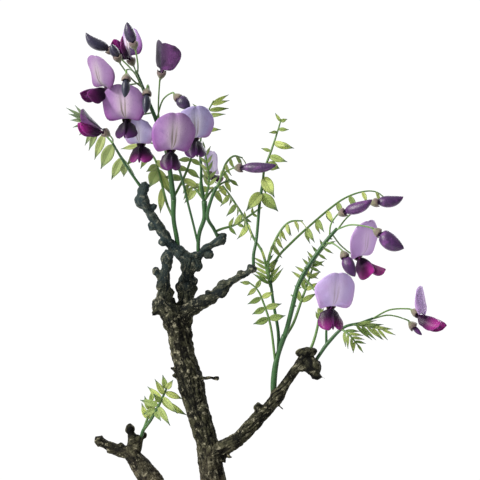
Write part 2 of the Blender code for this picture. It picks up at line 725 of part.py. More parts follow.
def banner(name, place, width, height, lean, curl):
    """The upright petal: a claw out of the calyx, then a broad round blade that leans back and curls."""
    shape = bmesh.new()
    bmesh.ops.create_grid(shape, x_segments=BANNER_COLUMNS, y_segments=BANNER_ROWS, size=1.0)
    mid_line = banner_mid_line(height, lean)
    for spot in shape.verts:
        row = round((spot.co.y + 1) / 2 * BANNER_ROWS)
        across = spot.co.x
        (x, z), (normal_x, normal_z), (run_x, run_z) = mid_line[row]
        half, back = CLAW_HALF_WIDTH, 0.0
        if row > 1:
            half = max(half, width / 2 * BANNER_HALF_WIDTH[row])
            back = curl * half * across**2
        low = BANNER_HANG[row] * height * across**2
        if row == BANNER_ROWS:
            low += BANNER_NOTCH * height * (1 - abs(across)) ** 4
        x -= back * normal_x + low * run_x
        z -= back * normal_z + low * run_z
        spot.co = Vector((x, across * half, z)) * MM
    bmesh.ops.triangulate(shape, faces=shape.faces)
    mesh = bpy.data.meshes.new("banner")
    shape.to_mesh(mesh)
    shape.free()
    sheet = loose(mesh)
    thickness = sheet.modifiers.new("thickness", "SOLIDIFY")
    thickness.thickness = PETAL_THICK * MM
    thickness.offset = 0.0
    made = weld_and_face_out(evaluated_mesh(sheet))
    bpy.data.objects.remove(sheet)
    made.transform(metres(place))
    return finish(name, made, LAVENDER)


def banner_mid_line(height, lean):
    """Place, front normal and run of the banner's middle at each row, in the flower's X and Z."""
    x, z = CLAW_START
    rows = []
    blade_step = height / (BANNER_ROWS - 1.4)
    for row in range(BANNER_ROWS + 1):
        share = min(1.0, max(0.0, (row - BEND_FROM) / BEND_OVER))
        angle = math.radians(lean * share + 4 * max(0, row - 2))
        run = (math.cos(angle), math.sin(angle))
        rows.append(((x, z), (run[1], -run[0]), run))
        step = CLAW_LENGTH if row == 0 else blade_step
        x += step * run[0]
        z += step * run[1]
    return rows


def metres(place):
    """The same placing, for a mesh that is already in metres."""
    made = place.copy()
    made.translation = made.translation * MM
    return made


def wings_and_keel(name, place, length, width, droop, splay):
    """The two wings round the boat-shaped keel, on one root that stands in the calyx."""
    root_rod = tube([(2.0, 0, -0.85, 0.7), (4.6, 0, -0.9, 0.8), (6.5, 0, -1.0, 1.0)], steps=1, sides=6)
    start = Vector((5.2, 0, -1.0))
    slope = math.radians(droop)
    forward = Vector((math.cos(slope), 0, -math.sin(slope)))
    pieces = [root_rod, keel(start, forward, 0.9 * length, KEEL_WIDTH * width)]
    for side in (-1, 1):
        aim = forward + Vector((0, math.sin(math.radians(splay)) * side, 0))
        at = start + Vector((-0.3, WING_APART * side, 0.3))
        pieces.append(wing(at, aim, face_of_wing(droop, side), side, length, width))
    made = fuse(name, pieces, AUBERGINE, PETALS_KEPT)
    made.data.transform(metres(place))
    return made


def face_of_wing(droop, side):
    """A wing stands on edge beside the keel in a level flower, and opens to the front in a drooping one."""
    x, y, z = Vector(LEVEL_WING).lerp(Vector(DROOPING_WING), min(1.0, droop / FULL_DROOP))
    return (x, y * side, z)


def wing(start, aim, face, side, length, width):
    """A wing petal: an oblong cupped blade, more of it outside its middle line than inside."""
    place = Matrix.Translation(start) @ frame_along(aim, face).to_4x4()
    return lens(place, WING_OUTLINE, length, width, WING_THICK, sides=4, cup=0.3, shift=WING_OUTWARDS * side)


def keel(start, aim, length, width):
    """The keel: a narrow boat, upturned at its tip."""
    place = Matrix.Translation(start) @ frame_along(aim, (0, 1, 0)).to_4x4()
    return lens(place, KEEL_OUTLINE, length, width, KEEL_THICK, sides=6, rise=0.14)


def lens(place, outline, length, width, thick, sides, cup=0.0, rise=0.0, shift=0.0):
    """A thick blade along X, wide across Y and thick across Z, cupped, upturned or set sideways."""
    stations = len(outline) - 1
    shape = bmesh.new()
    bmesh.ops.create_uvsphere(shape, u_segments=sides, v_segments=stations, radius=1.0)
    for spot in shape.verts:
        station = round(math.acos(max(-1.0, min(1.0, spot.co.z))) / math.pi * stations)
        t = station / stations
        inner = 0 < station < stations
        round_part = math.sin(math.pi * t) if inner else 1.0
        across = spot.co.x / round_part if inner else 0.0
        through = spot.co.y / round_part if inner else 0.0
        half = width / 2 * outline[station]
        lift = thick / 2 * through * min(1.0, 2 * outline[station]) - cup * half * across * across
        side = half * (across + shift) + rise * length * t * t
        spot.co = place @ Vector((length * t, side, lift)) * MM
    bmesh.ops.reverse_faces(shape, faces=shape.faces)
    mesh = bpy.data.meshes.new("lens")
    shape.to_mesh(mesh)
    shape.free()
    return loose(mesh)


def bud(name, foot_at, tip, thick, bend):
    """A closed flower bud in its calyx: slender in the cup, plump beyond it, bent towards its tip."""
    foot_at, tip = Vector(foot_at), Vector(tip)
    axis = (tip - foot_at).normalized()
    start = 0.42 * CALYX_DEPTH
    length = (tip - foot_at).length - start
    place = Matrix.Translation(foot_at) @ frame_along(axis, UPWARDS).to_4x4()
    last = len(BUD_PROFILE) - 1
    shape = bmesh.new()
    bmesh.ops.create_uvsphere(shape, u_segments=7, v_segments=last, radius=1.0)
    for spot in shape.verts:
        station = round(math.acos(max(-1.0, min(1.0, spot.co.z))) / math.pi * last)
        inner = 0 < station < last
        round_part = math.sin(math.pi * station / last) if inner else 1.0
        t, full = BUD_PROFILE[station]
        radius = thick / 2 * full
        if station < 3:
            radius = min(radius, BUD_FOOT_RADIUS)
        y = radius * spot.co.x / round_part if inner else 0.0
        z = radius * spot.co.y / round_part if inner else 0.0
        sag = 2.2 * bend * length * (1 - t) * t * t
        spot.co = place @ Vector((start + length * t, BUD_FLATNESS * y, z - sag)) * MM
    bmesh.ops.reverse_faces(shape, faces=shape.faces)
    mesh = bpy.data.meshes.new("bud")
    shape.to_mesh(mesh)
    shape.free()
    return finish(name, mesh, AUBERGINE)


# Open flowers: foot of the calyx, axis, up, banner width, height, lean and curl, wing length, width, droop
# and splay
FLOWERS = {
    "flower_low_front": (
        (47, -25, 251), (0.34, -0.9, -0.25), (0, 0, 1),
        27, 23, 84, 0.22, 15.5, 10, 56, 14,
    ),
    "flower_right_high": (
        (64, -2, 283), (0.68, -0.68, -0.26), (-0.25, 0, 1),
        25, 25, 84, 0.3, 20, 12, 12, 16,
    ),
    "flower_far_right": (
        (101, -15, 247), (0.84, -0.36, -0.42), (0.35, 0, 1),
        18, 18, 124, 0.5, 19.5, 9, -6, 18,
    ),
    "flower_left": (
        (-92, -17, 391), (-0.78, -0.6, -0.12), (0.1, -0.1, 1),
        27, 21, 74, 0.25, 18, 10, 5, 12,
    ),
    "flower_left_front": (
        (-82, -12, 371), (-0.2, -0.93, -0.2), (0, 0, 1),
        29, 23, 82, 0.2, 13, 9, 52, 10,
    ),
    "flower_top": (
        (-79, -3, 406), (-0.42, -0.2, 0.88), (0.6, 0.7, 0.3),
        18, 18, 26, 0.5, 16, 9.4, 4, 14,
    ),
    "flower_left_shut": (
        (-94, -16, 360), (-0.8, -0.3, 0.5), (0.1, 0.1, 1),
        14, 17, 12, -0.4, 17, 8, 10, 5,
    ),
    "flower_centre": (
        (-73, 0, 356), (-0.24, -0.92, -0.25), (0, 0, 1),
        20, 17, 80, 0.25, 13, 9, 52, 16,
    ),
    "flower_front": (
        (-55, -26, 351), (0.24, -0.92, -0.25), (0, 0, 1),
        28, 25, 82, 0.25, 13, 8.5, 58, 8,
    ),
    "flower_back": (
        (-40, -13, 359), (0.24, -0.92, -0.25), (-0.1, 0, 1),
        24, 22, 80, 0.35, 12.5, 8.5, 56, 12,
    ),
    "flower_small": (
        (-33, 8, 334), (0.8, 0.5, 0.25), (0.15, -0.1, 1),
        16, 14, 84, 0.3, 9, 5, 20, 10,
    ),
    "flower_opening": (
        (-61, -12, 397), (0.2, -0.3, 0.94), (-0.45, -0.88, 0.1),
        19, 18, 14, -0.6, 18, 8, 0, 4,
    ),
}
# Buds: foot of the calyx, tip, thickness and bend
BUDS = {
    "bud_right_plump": ((76, -27, 299), (95, -31, 287), 11.4, 0.2),
    "bud_right_low": ((56, -20, 285), (64, -26, 269), 8.6, 0.1),
    "bud_right_inner": ((54, -15, 309), (75, -23, 318.5), 8.0, 0.2),
    "bud_right_outer": ((75, -9, 316), (96, -9, 320.5), 8.0, 0.24),
    "bud_far_right": ((100, -7, 239), (108, -9, 231), 3.6, 0.1),
    "bud_left_front": ((-82, -35, 398), (-83, -40, 383), 6.4, 0.05),
    "bud_rib_front": ((-69, -30, 389), (-70, -35, 373), 6.4, 0.05),
    "bud_left_long": ((-91, -14, 413), (-109, -18, 426), 7.8, 0.36),
    "bud_left_small": ((-87, -22, 407), (-92, -27, 418), 6.4, 0.1),
    "bud_top": ((-77, -24, 415), (-82, -27, 432), 7.6, 0.1),
    "bud_round": ((-52, -14, 386), (-42, -19, 377), 8.6, 0.0),
    "bud_middle_long": ((-13, -8, 339), (14, -15, 341), 7.2, 0.14),
}


def make_petals():
    for name, (foot_at, axis, up, width, height, lean, curl, long, broad, droop, splay) in FLOWERS.items():
        place = flower_frame(foot_at, axis, up)
        banner(f"{name}_banner", place, width, height, lean, curl)
        wings_and_keel(f"{name}_wings_keel", place, long, broad, droop, splay)


def make_buds():
    for name, (foot_at, tip, thick, bend) in BUDS.items():
        bud(name, foot_at, tip, thick, bend)


def held(name, start):
    """The stalk from a place on a stem to the named flower or bud, and the calyx that holds it."""
    if name in FLOWERS:
        foot_at, axis = FLOWERS[name][:2]
    else:
        foot_at, tip = BUDS[name][:2]
        axis = Vector(tip) - Vector(foot_at)
    axis = Vector(axis).normalized()
    return [stalk(start, foot_at, axis), calyx(foot_at, axis)]


# Leafy shoots


KNOB_STEM = [(-74, -2, 327, 1.1), (-77, -3, 331, 1.0), (-85, -6, 343, 0.9), (-92, -10, 355, 0.8)]
LEFT_SHOOT = [(-50, 5, 285, 1.6), (-51, 5, 294, 1.6), (-53, 4, 306, 1.5), (-53, 3, 320, 1.9)]
MIDDLE_SHOOT = [
    (-37, 7, 283, 1.3), (-37, 7, 291, 1.3), (-36, 6, 298, 1.4), (-33, 5, 307, 1.5), (-33, 5, 318, 1.9),
]
STUB_SHOOT = [
    (-24, 10, 294, 1.2), (-27, 7, 300, 1.2), (-31, 1, 308, 1.2), (-28, -1, 320, 1.1), (-25, -1, 327, 1.2),
]
STUB_LEAF = [(-26, 8, 298, 0.9), (-21, 10, 300, 0.9), (-14, 9, 302, 0.8), (-7, 8, 306, 0.8), (3, 7, 313, 0.6)]
SMALL_SHOOT = [
    (-1, -13, 274, 1.1), (-1, -12, 283, 1.1), (1, -10, 294, 1.0), (3, -8, 317, 1.0), (5, -7, 330, 0.9),
]
RIGHT_SHOOT = [
    (12, -9, 192, 2.0), (12, -9, 200, 2.1), (13, -9, 210, 2.0), (15, -9, 219, 1.7), (19, -10, 231, 1.9),
]
TIP_SHOOT = [
    (38, -12, 213, 1.2), (42, -12, 219, 1.2), (47, -12, 226, 1.3), (57, -13, 236, 1.0), (68, -14, 239, 0.9),
]
TIP_STEM = [(34, -12, 219, 1.0), (37, -12, 225, 1.0), (40, -11, 235, 0.9), (42, -10, 247, 0.7)]
YOUNG_SHOOT = [
    (-75, 19, 162, 1.2), (-73, 17, 168, 1.2), (-68, 10, 175, 1.1), (-62, 3, 186, 0.9), (-57, -2, 197, 0.6),
]


def make_knob_shoot():
    leaf_rib = [
        (-77, -3, 331, 0.8), (-82, 3, 340, 0.8), (-88, 8, 348, 0.7), (-94, 10, 357, 0.7),
        (-101, 11, 364, 0.6), (-108, 11, 370, 0.5), (-112, 11, 373, 0.5),
    ]
    leaflets = [
        (0.36, (-94, 14, 332), 6.0), (0.55, (-101, 14, 339), 8.0), (0.7, (-105, 12, 345), 5.5),
        (0.8, (-109, 16, 351), 4.0), (0.84, (-111, 7, 354), 4.0), (0.88, (-115, 12, 361), 3.6),
        (0.91, (-119, 8, 366), 3.0), (0.94, (-121, 14, 371), 2.8), (0.96, (-122, 9, 375), 2.4),
        (1.0, (-123.5, 11, 379), 2.2), (1.0, (-118, 14, 381), 2.0), (0.3, (-86, 15, 334), 4.6),
    ]
    pieces = [tube(KNOB_STEM), *placed_leaf(leaf_rib, leaflets), *held("flower_left_shut", (-92, -10, 355))]
    fuse("shoot_left_knob", pieces, GREEN, LEAFY_KEPT)


def make_left_shoot():
    raceme = [
        (-53, 3, 319, 1.9), (-55, 0, 335, 1.6), (-57, -2, 348, 1.5), (-60, -4, 358, 1.4), (-64, -6, 370, 1.4),
        (-68, -8, 380, 1.3), (-73, -10, 392, 1.2), (-77, -11, 402, 1.0),
    ]
    left_rib = [
        (-53, 4, 306, 0.9), (-58, 8, 318, 0.9), (-63, 11, 338, 0.8), (-67, 11, 348, 0.7), (-76, 10, 356, 0.5),
    ]
    left_leaflets = [
        (0.4, (-62, 14, 310), 4.6), (0.62, (-69, 14, 327), 8.0), (0.66, (-71, 8, 337), 4.6),
        (0.62, (-55, 15, 322), 5.6), (0.72, (-54, 14, 337), 4.4), (0.94, (-84, 11, 341), 6.0),
        (0.84, (-75, 14, 339), 4.2), (1.0, (-88, 12, 352), 3.4),
    ]
    right_rib = [(-53, 3, 320, 0.9), (-47, 7, 332, 0.9), (-43, 10, 342, 0.8), (-40, 11, 352, 0.6)]
    pieces = [tube(LEFT_SHOOT), tube(raceme, steps=1)]
    pieces += placed_leaf(left_rib, left_leaflets)
    pieces += paired_leaf(right_rib, 3, 13, 4.6, start=0.4, hang=0.8, seed=1)
    stalks = {
        "flower_top": (-77, -11, 401), "flower_left": (-74, -10, 394), "bud_top": (-76, -11, 399),
        "bud_left_long": (-76, -11, 398), "bud_left_small": (-73, -10, 391), "bud_left_front": (-71, -9, 386),
        "bud_rib_front": (-68, -8, 380), "flower_left_front": (-66, -7, 375), "bud_round": (-64, -6, 369),
        "flower_opening": (-61, -4, 361), "flower_centre": (-58, -3, 352),
    }
    for name, start in stalks.items():
        pieces += held(name, start)
    fuse("shoot_left", pieces, GREEN, LEAFY_KEPT)


def make_middle_shoot():
    slim = [
        (-37, 7, 289, 0.8), (-40, 5, 302, 0.8), (-44, 1, 318, 0.8), (-47, -4, 331, 0.8), (-50, -12, 341, 0.7),
    ]
    fan = [(-33, 5, 317, 1.3), (-35, 4, 330, 1.0), (-35, 2, 342, 0.8), (-36, 0, 349, 0.7)]
    young_rib = [(-33, 5, 318, 0.9), (-30, 2, 329, 0.8), (-31, -1, 341, 0.7), (-33, -1, 352, 0.5)]
    left_rib = [(-33, 5, 318, 0.8), (-39, 8, 326, 0.8), (-45, 13, 331, 0.6)]
    back_rib = [
        (-35, 3, 338, 0.8), (-36, 12, 350, 0.7), (-35, 16, 362, 0.6), (-32, 17, 374, 0.5),
        (-27, 16, 384, 0.5),
    ]
    back_leaflets = [
        (0.6, (-22, 18, 365), 3.2), (0.78, (-19, 13, 375), 2.8), (0.86, (-17, 19, 379), 3.0),
        (0.94, (-16.5, 14, 384), 2.6), (1.0, (-17, 17, 388), 2.4), (0.6, (-43, 19, 371), 3.0),
        (0.78, (-41, 17, 382), 2.8),
    ]
    right_rib = [(-33, 5, 318, 0.9), (-28, 11, 325, 0.8), (-21, 16, 330, 0.7), (-15, 19, 332, 0.5)]
    pieces = [tube(MIDDLE_SHOOT), tube(slim), tube(fan)]
    pieces += paired_leaf(young_rib, 5, 9, 2.2, start=0.3, spread=38, hang=0.0, taper=0.3, seed=2)
    pieces += paired_leaf(left_rib, 3, 12, 4.4, start=0.45, hang=0.9, seed=3)
    pieces += placed_leaf(back_rib, back_leaflets)
    pieces += paired_leaf(right_rib, 3, 12, 4.6, start=0.4, hang=0.9, seed=4)
    pieces += held("flower_front", (-50, -12, 341)) + held("flower_back", (-36, 0, 348))
    pieces += held("flower_small", (-33, 5, 317.5))
    fuse("shoot_middle", pieces, GREEN, LEAFY_KEPT)


def make_stub_shoot():
    curved_rib = [
        (-25, -1, 326, 1.1), (-22, -1, 333, 0.9), (-19, 0, 342, 0.8), (-14, 0, 347, 0.7), (-8, 1, 346, 0.5),
    ]
    pieces = [
        tube(STUB_SHOOT), *paired_leaf(curved_rib, 4, 13, 3.2, start=0.42, hang=1.3, face=UPWARDS, seed=5),
    ]
    pieces += paired_leaf(STUB_LEAF, 4, 7, 2.4, start=0.3, hang=0.1, seed=6)
    pieces += held("bud_middle_long", (-22, -1, 333))
    fuse("shoot_stub", pieces, GREEN, LEAFY_KEPT)


def make_small_branch_shoot():
    top_rib = [
        (5, -7, 329, 0.9), (6, -6, 338, 0.8), (10, -5, 349, 0.8), (14, -4, 361, 0.6), (17, -3, 371, 0.5),
    ]
    low_rib = [(1, -10, 294, 0.9), (3, -8, 317, 0.9), (5, -7, 328, 0.9)]
    top_leaflets = [
        (0.1, (12.5, -10, 320), 7.6), (0.05, (7, -3, 322), 2.8), (0.3, (16, -2, 339), 6.0),
        (0.42, (21, -8, 343), 4.6), (0.62, (25.5, -2, 352), 4.6), (0.64, (22, -9, 353), 3.4),
        (0.84, (22, -5, 364), 2.6), (1.0, (21, -3, 371), 2.4), (0.5, (4, -3, 352), 2.2),
        (0.8, (9, -6, 362), 2.0), (1.0, (13, -3, 375), 2.0),
    ]
    low_leaflets = [(0.86, (-6, -12, 311), 7.2), (0.84, (15, -5, 311), 7.2)]
    pieces = [tube(SMALL_SHOOT), *placed_leaf(top_rib, top_leaflets), *placed_leaf(low_rib, low_leaflets)]
    fuse("shoot_small_branch", pieces, GREEN, LEAFY_KEPT)


def make_right_shoot():
    raceme = [
        (19, -10, 230, 1.8), (21, -11, 237, 1.6), (24, -12, 249, 1.6), (27, -12, 261, 1.5),
        (31, -12, 270, 1.5), (38, -12, 281, 1.4), (46, -12, 292, 1.3), (53, -12, 300, 1.1),
    ]
    straight = [(15, -9, 218, 1.2), (15, -7, 233, 1.1), (12, -5, 251, 1.0), (10, -4, 266, 1.0)]
    tuft = [(10, -4, 262, 0.9), (8, -3, 271, 0.9), (6, -3, 280, 0.6)]
    thin_rib = [
        (13, -9, 214, 0.9), (10, -13, 237, 0.8), (5, -15, 253, 0.7), (1, -16, 261, 0.6), (-5, -17, 266, 0.5),
    ]
    pale_rib = [
        (19, -10, 229, 1.0), (25, -6, 239, 1.0), (30, -4, 253, 0.9), (34, -3, 264, 0.8), (40, -2, 283, 0.5),
    ]
    inner_rib = [(27, -12, 261, 0.9), (33, -6, 271, 0.8), (41, -3, 283, 0.7), (48, -3, 291, 0.5)]
    arching_rib = [
        (10, -4, 266, 1.0), (14, -1, 280, 0.9), (24, 4, 291, 0.9), (36, 7, 302, 0.8), (49, 9, 313, 0.8),
        (59, 10, 320, 0.7), (70, 10, 324, 0.6), (79, 9, 324, 0.5), (86, 8, 319, 0.5),
    ]
    curled_rib = [
        (9, -4, 268, 0.9), (9, -6, 281, 0.9), (15, -9, 296, 0.8), (22, -10, 304, 0.7), (31, -10, 305, 0.5),
    ]
    long_rib = [
        (9, -4, 268, 0.9), (5, -1, 284, 0.9), (-1, 0, 294, 0.9), (-7, -2, 307, 0.8), (-16, -6, 321, 0.7),
        (-21, -8, 328, 0.5),
    ]
    pieces = [tube(RIGHT_SHOOT), tube(raceme, steps=1), tube(straight, steps=1)]
    pieces += paired_leaf(tuft, 5, 13, 2.4, start=0.1, spread=50, hang=0.0, taper=0.35, seed=7)
    pieces += paired_leaf(inner_rib, 6, 9, 2.2, start=0.2, spread=56, hang=0.5, taper=0.3, seed=18)
    pieces += paired_leaf(thin_rib, 4, 12, 4.6, start=0.5, spread=62, hang=0.5, seed=8)
    pieces += paired_leaf(pale_rib, 4, 12, 3.4, start=0.45, spread=38, hang=0.1, seed=9)
    drooping = {"spread": 60, "face": UPWARDS}
    pieces += paired_leaf(arching_rib, 7, 14, 3.7, start=0.42, hang=1.25, taper=0.35, seed=10, **drooping)
    pieces += paired_leaf(curled_rib, 5, 12, 3.2, start=0.45, hang=1.4, taper=0.3, seed=11, **drooping)
    pieces += paired_leaf(long_rib, 4, 15, 4.0, start=0.55, hang=1.2, taper=0.3, seed=12, **drooping)
    pieces += raceme_nubs(raceme)
    stalks = {
        "flower_low_front": (31, -12, 269), "flower_right_high": (50, -12, 296),
        "bud_right_low": (45, -12, 291), "bud_right_inner": (48, -12, 295), "bud_right_plump": (52, -12, 299),
        "bud_right_outer": (53, -12, 299),
    }
    for name, start in stalks.items():
        pieces += held(name, start)
    fuse("shoot_right", pieces, GREEN, LEAFY_KEPT)


def raceme_nubs(path):
    """Small stubs round a flower stem, where flowers are still to come or have fallen."""
    draw = random.Random(SEED)
    points = smooth(path, 3)
    made = []
    for step in range(9):
        place, run = along(points, 0.25 + 0.08 * step)
        turn = Matrix.Rotation(2.4 * step + draw.uniform(-0.3, 0.3), 3, run)
        aim = (turn @ run.orthogonal().normalized() + 0.5 * run).normalized()
        tip = place + 3.1 * aim
        made.append(tube([(*place, 0.6), (*tip, 0.5)], steps=1, sides=4))
    return made


def make_tip_shoot():
    second = [(46, -12, 225, 0.9), (46, -11, 234, 0.8), (47, -10, 246, 0.6)]
    end = [(68, -14, 239, 0.9), (76, -14, 242, 0.8)]
    feather = [(63, -14, 238, 0.8), (72, -17, 237, 0.7), (82, -19, 235, 0.5)]
    low_feather = [(56, -13, 235, 0.8), (61, -17, 231, 0.7), (66, -20, 225, 0.5)]
    pieces = [tube(TIP_SHOOT), tube(second), tube(end)]
    pieces += paired_leaf(feather, 5, 14, 2.3, start=0.1, spread=24, hang=0.2, taper=0.3, seed=13)
    pieces += paired_leaf(low_feather, 4, 11, 2.2, start=0.15, spread=42, hang=0.1, taper=0.3, seed=14)
    pieces += held("flower_far_right", (76, -14, 242)) + held("bud_far_right", (75, -14, 241.5))
    fuse("shoot_right_tip", pieces, GREEN, LEAFY_KEPT)


def make_tip_stem():
    pieces = paired_leaf(TIP_STEM, 2, 6, 2.1, start=0.8, spread=24, hang=0.0, taper=0.2, seed=15)
    fuse("shoot_right_tip_stem", pieces, GREEN, LEAFY_KEPT)


def make_young_shoot():
    rib = YOUNG_SHOOT[1:]
    leaflets = [
        (0.62, (-75, 9, 188), 4.2), (0.55, (-73, 12, 178.5), 4.0), (0.75, (-70, 4, 197), 3.9),
        (0.85, (-65, -5, 202.5), 3.9), (0.95, (-60, -1, 205), 3.6), (1.0, (-53, -6, 202), 3.6),
        (0.9, (-47, 2, 189), 4.2), (0.72, (-44, 6, 178), 4.6), (0.6, (-55, -4, 172), 4.2),
        (0.8, (-50, -8, 180), 3.9), (0.7, (-66, -6, 193), 3.6), (0.48, (-61, -3, 175), 3.6),
    ]
    second = [(-73, 17, 168, 1.0), (-70, 14, 177, 0.8), (-68, 12, 187, 0.5)]
    pieces = [tube(YOUNG_SHOOT, sides=4), *placed_leaf(rib, leaflets)]
    pieces += paired_leaf(second, 2, 11, 3.8, start=0.4, spread=34, hang=-0.1, taper=0.2, seed=17)
    fuse("shoot_young_low", pieces, GREEN, LEAFY_KEPT)


def main():
    make_pot()
    for name, (x, y) in zip(("drain_screen_left", "drain_screen_right"), drain_places()):
        make_screen(name, x, y)
    make_soil()
    wood = make_wood()
    bases = (
        KNOB_STEM, LEFT_SHOOT, MIDDLE_SHOOT, STUB_SHOOT, SMALL_SHOOT, RIGHT_SHOOT, TIP_SHOOT, TIP_STEM,
        YOUNG_SHOOT,
    )
    cut(wood, sockets_for(*bases))
    make_knob_shoot()
    make_left_shoot()
    make_middle_shoot()
    make_stub_shoot()
    make_small_branch_shoot()
    make_right_shoot()
    make_tip_shoot()
    make_tip_stem()
    make_young_shoot()
    make_petals()
    make_buds()
    if ASTRAY:
        raise ValueError(f"These pieces don't reach the rest of their node: {ASTRAY}")


main()
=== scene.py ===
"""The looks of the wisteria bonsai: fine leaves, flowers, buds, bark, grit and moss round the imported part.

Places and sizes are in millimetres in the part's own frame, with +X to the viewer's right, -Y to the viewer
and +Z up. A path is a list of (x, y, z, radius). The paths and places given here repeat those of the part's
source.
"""

import math
import random

import bmesh
import bpy
import numpy as np
from mathutils import Matrix, Vector, noise
from mathutils.bvhtree import BVHTree


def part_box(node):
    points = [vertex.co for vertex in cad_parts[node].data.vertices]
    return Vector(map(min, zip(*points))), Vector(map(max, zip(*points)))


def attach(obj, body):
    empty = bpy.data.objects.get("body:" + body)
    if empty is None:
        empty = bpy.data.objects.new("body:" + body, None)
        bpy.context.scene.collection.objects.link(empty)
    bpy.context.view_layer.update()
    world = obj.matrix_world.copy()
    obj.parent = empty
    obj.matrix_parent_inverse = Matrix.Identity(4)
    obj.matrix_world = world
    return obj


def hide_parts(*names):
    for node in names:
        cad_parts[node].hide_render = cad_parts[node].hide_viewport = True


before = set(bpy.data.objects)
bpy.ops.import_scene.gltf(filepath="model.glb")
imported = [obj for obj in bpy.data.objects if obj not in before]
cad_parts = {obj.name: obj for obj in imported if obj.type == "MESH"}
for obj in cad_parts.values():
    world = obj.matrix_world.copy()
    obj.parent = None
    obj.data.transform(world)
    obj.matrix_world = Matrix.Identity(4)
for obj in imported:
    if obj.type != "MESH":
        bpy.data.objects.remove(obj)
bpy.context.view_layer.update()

MM = 0.001
SEED = 7
TOWARDS_VIEWER = (0, -1, 0)
UPWARDS = (0, 0, 1)

# The view: what the photograph shows is 312 mm wide, and its middle is this high and this far to the side
VIEW_WIDTH = 312.0
VIEW_MIDDLE = (-9.75, 292.5)
LENS = 200.0
SENSOR = 36.0
CLIP_END = 100.0
FLOOR_RADIUS = 1300.0
FLOOR_SIDES = 96
# Where the light is brightest from, and the world's strength on that side and opposite it
BRIGHT_SIDE = (-0.5, 0.75, 0.45)
BRIGHT_LIGHT = 1.05
DIM_LIGHT = 0.26

# Rows and columns of the sheets, and steps and sides of the tubes
BROAD_LEAFLET = 3.8
BROAD_GRID = (10, 6)
NARROW_GRID = (7, 4)
BANNER_COLUMNS = 18
BANNER_STEPS = 4
WING_GRID = (14, 12)
KEEL_GRID = (12, 12)
BUD_SIDES = 24
CALYX_GRID = (7, 20)
STEM_TUBE = (5, 9)
RIB_TUBE = (5, 6)
STALK_TUBE = (6, 7)

LEAFLET_THICK = 0.28
LEAFLET_FOLD = 0.3
LEAFLET_ARCH = 0.06
LAST_SHARE = 0.96
PETAL_THICK = 0.35
BANNER_ROWS = 5
BANNER_HALF_WIDTH = (0.1, 0.13, 0.68, 0.96, 1.0, 0.72)
BANNER_HANG = (0.0, 0.0, 0.26, 0.22, 0.17, 0.18)
BANNER_NOTCH = 0.05
BANNER_RIPPLE = 0.9
BEND_FROM = 0.3
BEND_OVER = 1.2
LEVEL_WING = (0.0, 1.0, 0.35)
DROOPING_WING = (0.5, 0.4, 0.75)
FULL_DROOP = 45.0
WING_APART = 0.5
WING_OUTWARDS = 0.5
KEEL_WIDTH = 0.5
CLAW_START = (2.6, 0.95)
CLAW_LENGTH = 3.4
CLAW_HALF_WIDTH = 1.2
BUD_FOOT_RADIUS = 1.75
BUD_FLATNESS = 0.86
CALYX_RADIUS = 2.9
CALYX_DEPTH = 4.4
CALYX_THICK = 0.4
STALK_RADIUS = 0.55
BUD_PROFILE = (
    (0.0, 0.0), (0.05, 0.5), (0.16, 0.56), (0.32, 0.92), (0.52, 1.0), (0.74, 0.78), (0.92, 0.36), (1.0, 0.0)
)

# Bark: its mesh, fissures across and along a limb, lumps, and burrs, fewer below a height
BARK_VOXEL = 0.7
FISSURE_PITCH = (2.2, 9.0)
PLATE_STEEPNESS = 2.6
PLATE_HEIGHT = 0.75
BARK_SUNK = 0.6
LUMP_PITCH = (7.0, 3.2)
ROUGH_PITCH = 1.3
FULL_RELIEF_RADIUS = 8.0
BURR_PITCH = 6.5
BURR_HEIGHT = 1.5
BURR_SPREAD = 0.55
BURRS_ABOVE = 190.0
BURRS_FADE = 50.0

# Grit and moss: where a plumb line to the soil starts, and the pitch, sizes and count of what falls there
DROP_FROM = 120.0
GRAIN_PITCH = 4.0
GRAIN_SIZES = (1.5, 2.5)
GRAIN_FROM_WOOD = 0.7
GRAIN_LIFT = 0.35
MOSS_BLADES = 1700
MOSS_HEIGHT = 3.2


# Paths and placing


def smooth(path, steps):
    """Points on a smooth curve through the path, radius included, with this many steps to each stretch."""
    points = [Vector(p) for p in path]
    ends = [2 * points[0] - points[1], *points, 2 * points[-1] - points[-2]]
    made = []
    for before, a, b, after in zip(ends, ends[1:], ends[2:], ends[3:]):
        for step in range(steps):
            t = step / steps
            made.append(
                0.5 * (2 * a + (b - before) * t + (2 * before - 5 * a + 4 * b - after) * t**2
                       + (3 * a - before - 3 * b + after) * t**3)
            )
    return [*made, points[-1]]


def along(points, share):
    """The place and direction at this share of the length of a list of points."""
    places = [Vector(p[:3]) for p in points]
    lengths = [(b - a).length for a, b in zip(places, places[1:])]
    left = share * sum(lengths)
    for a, b, length in zip(places, places[1:], lengths):
        if left <= length:
            return a.lerp(b, left / length), (b - a).normalized()
        left -= length
    return places[-1], (places[-1] - places[-2]).normalized()


def frame_along(direction, face):
    """A rotation with X along the direction and Z as near to the face as it can be."""
    x = Vector(direction).normalized()
    z = Vector(face) - Vector(face).dot(x) * x
    if z.length < 0.05:
        z = x.orthogonal()
    z.normalize()
    return Matrix((x, z.cross(x), z)).transposed()


def placed(origin, direction, face):
    return Matrix.Translation(Vector(origin)) @ frame_along(direction, face).to_4x4()


# Mesh pieces: each shape carries a UV map with places on its blades and a tint for each of its parts


def new_shape():
    shape = bmesh.new()
    shape.loops.layers.uv.new("blade")
    shape.verts.layers.float.new("tint")
    return shape


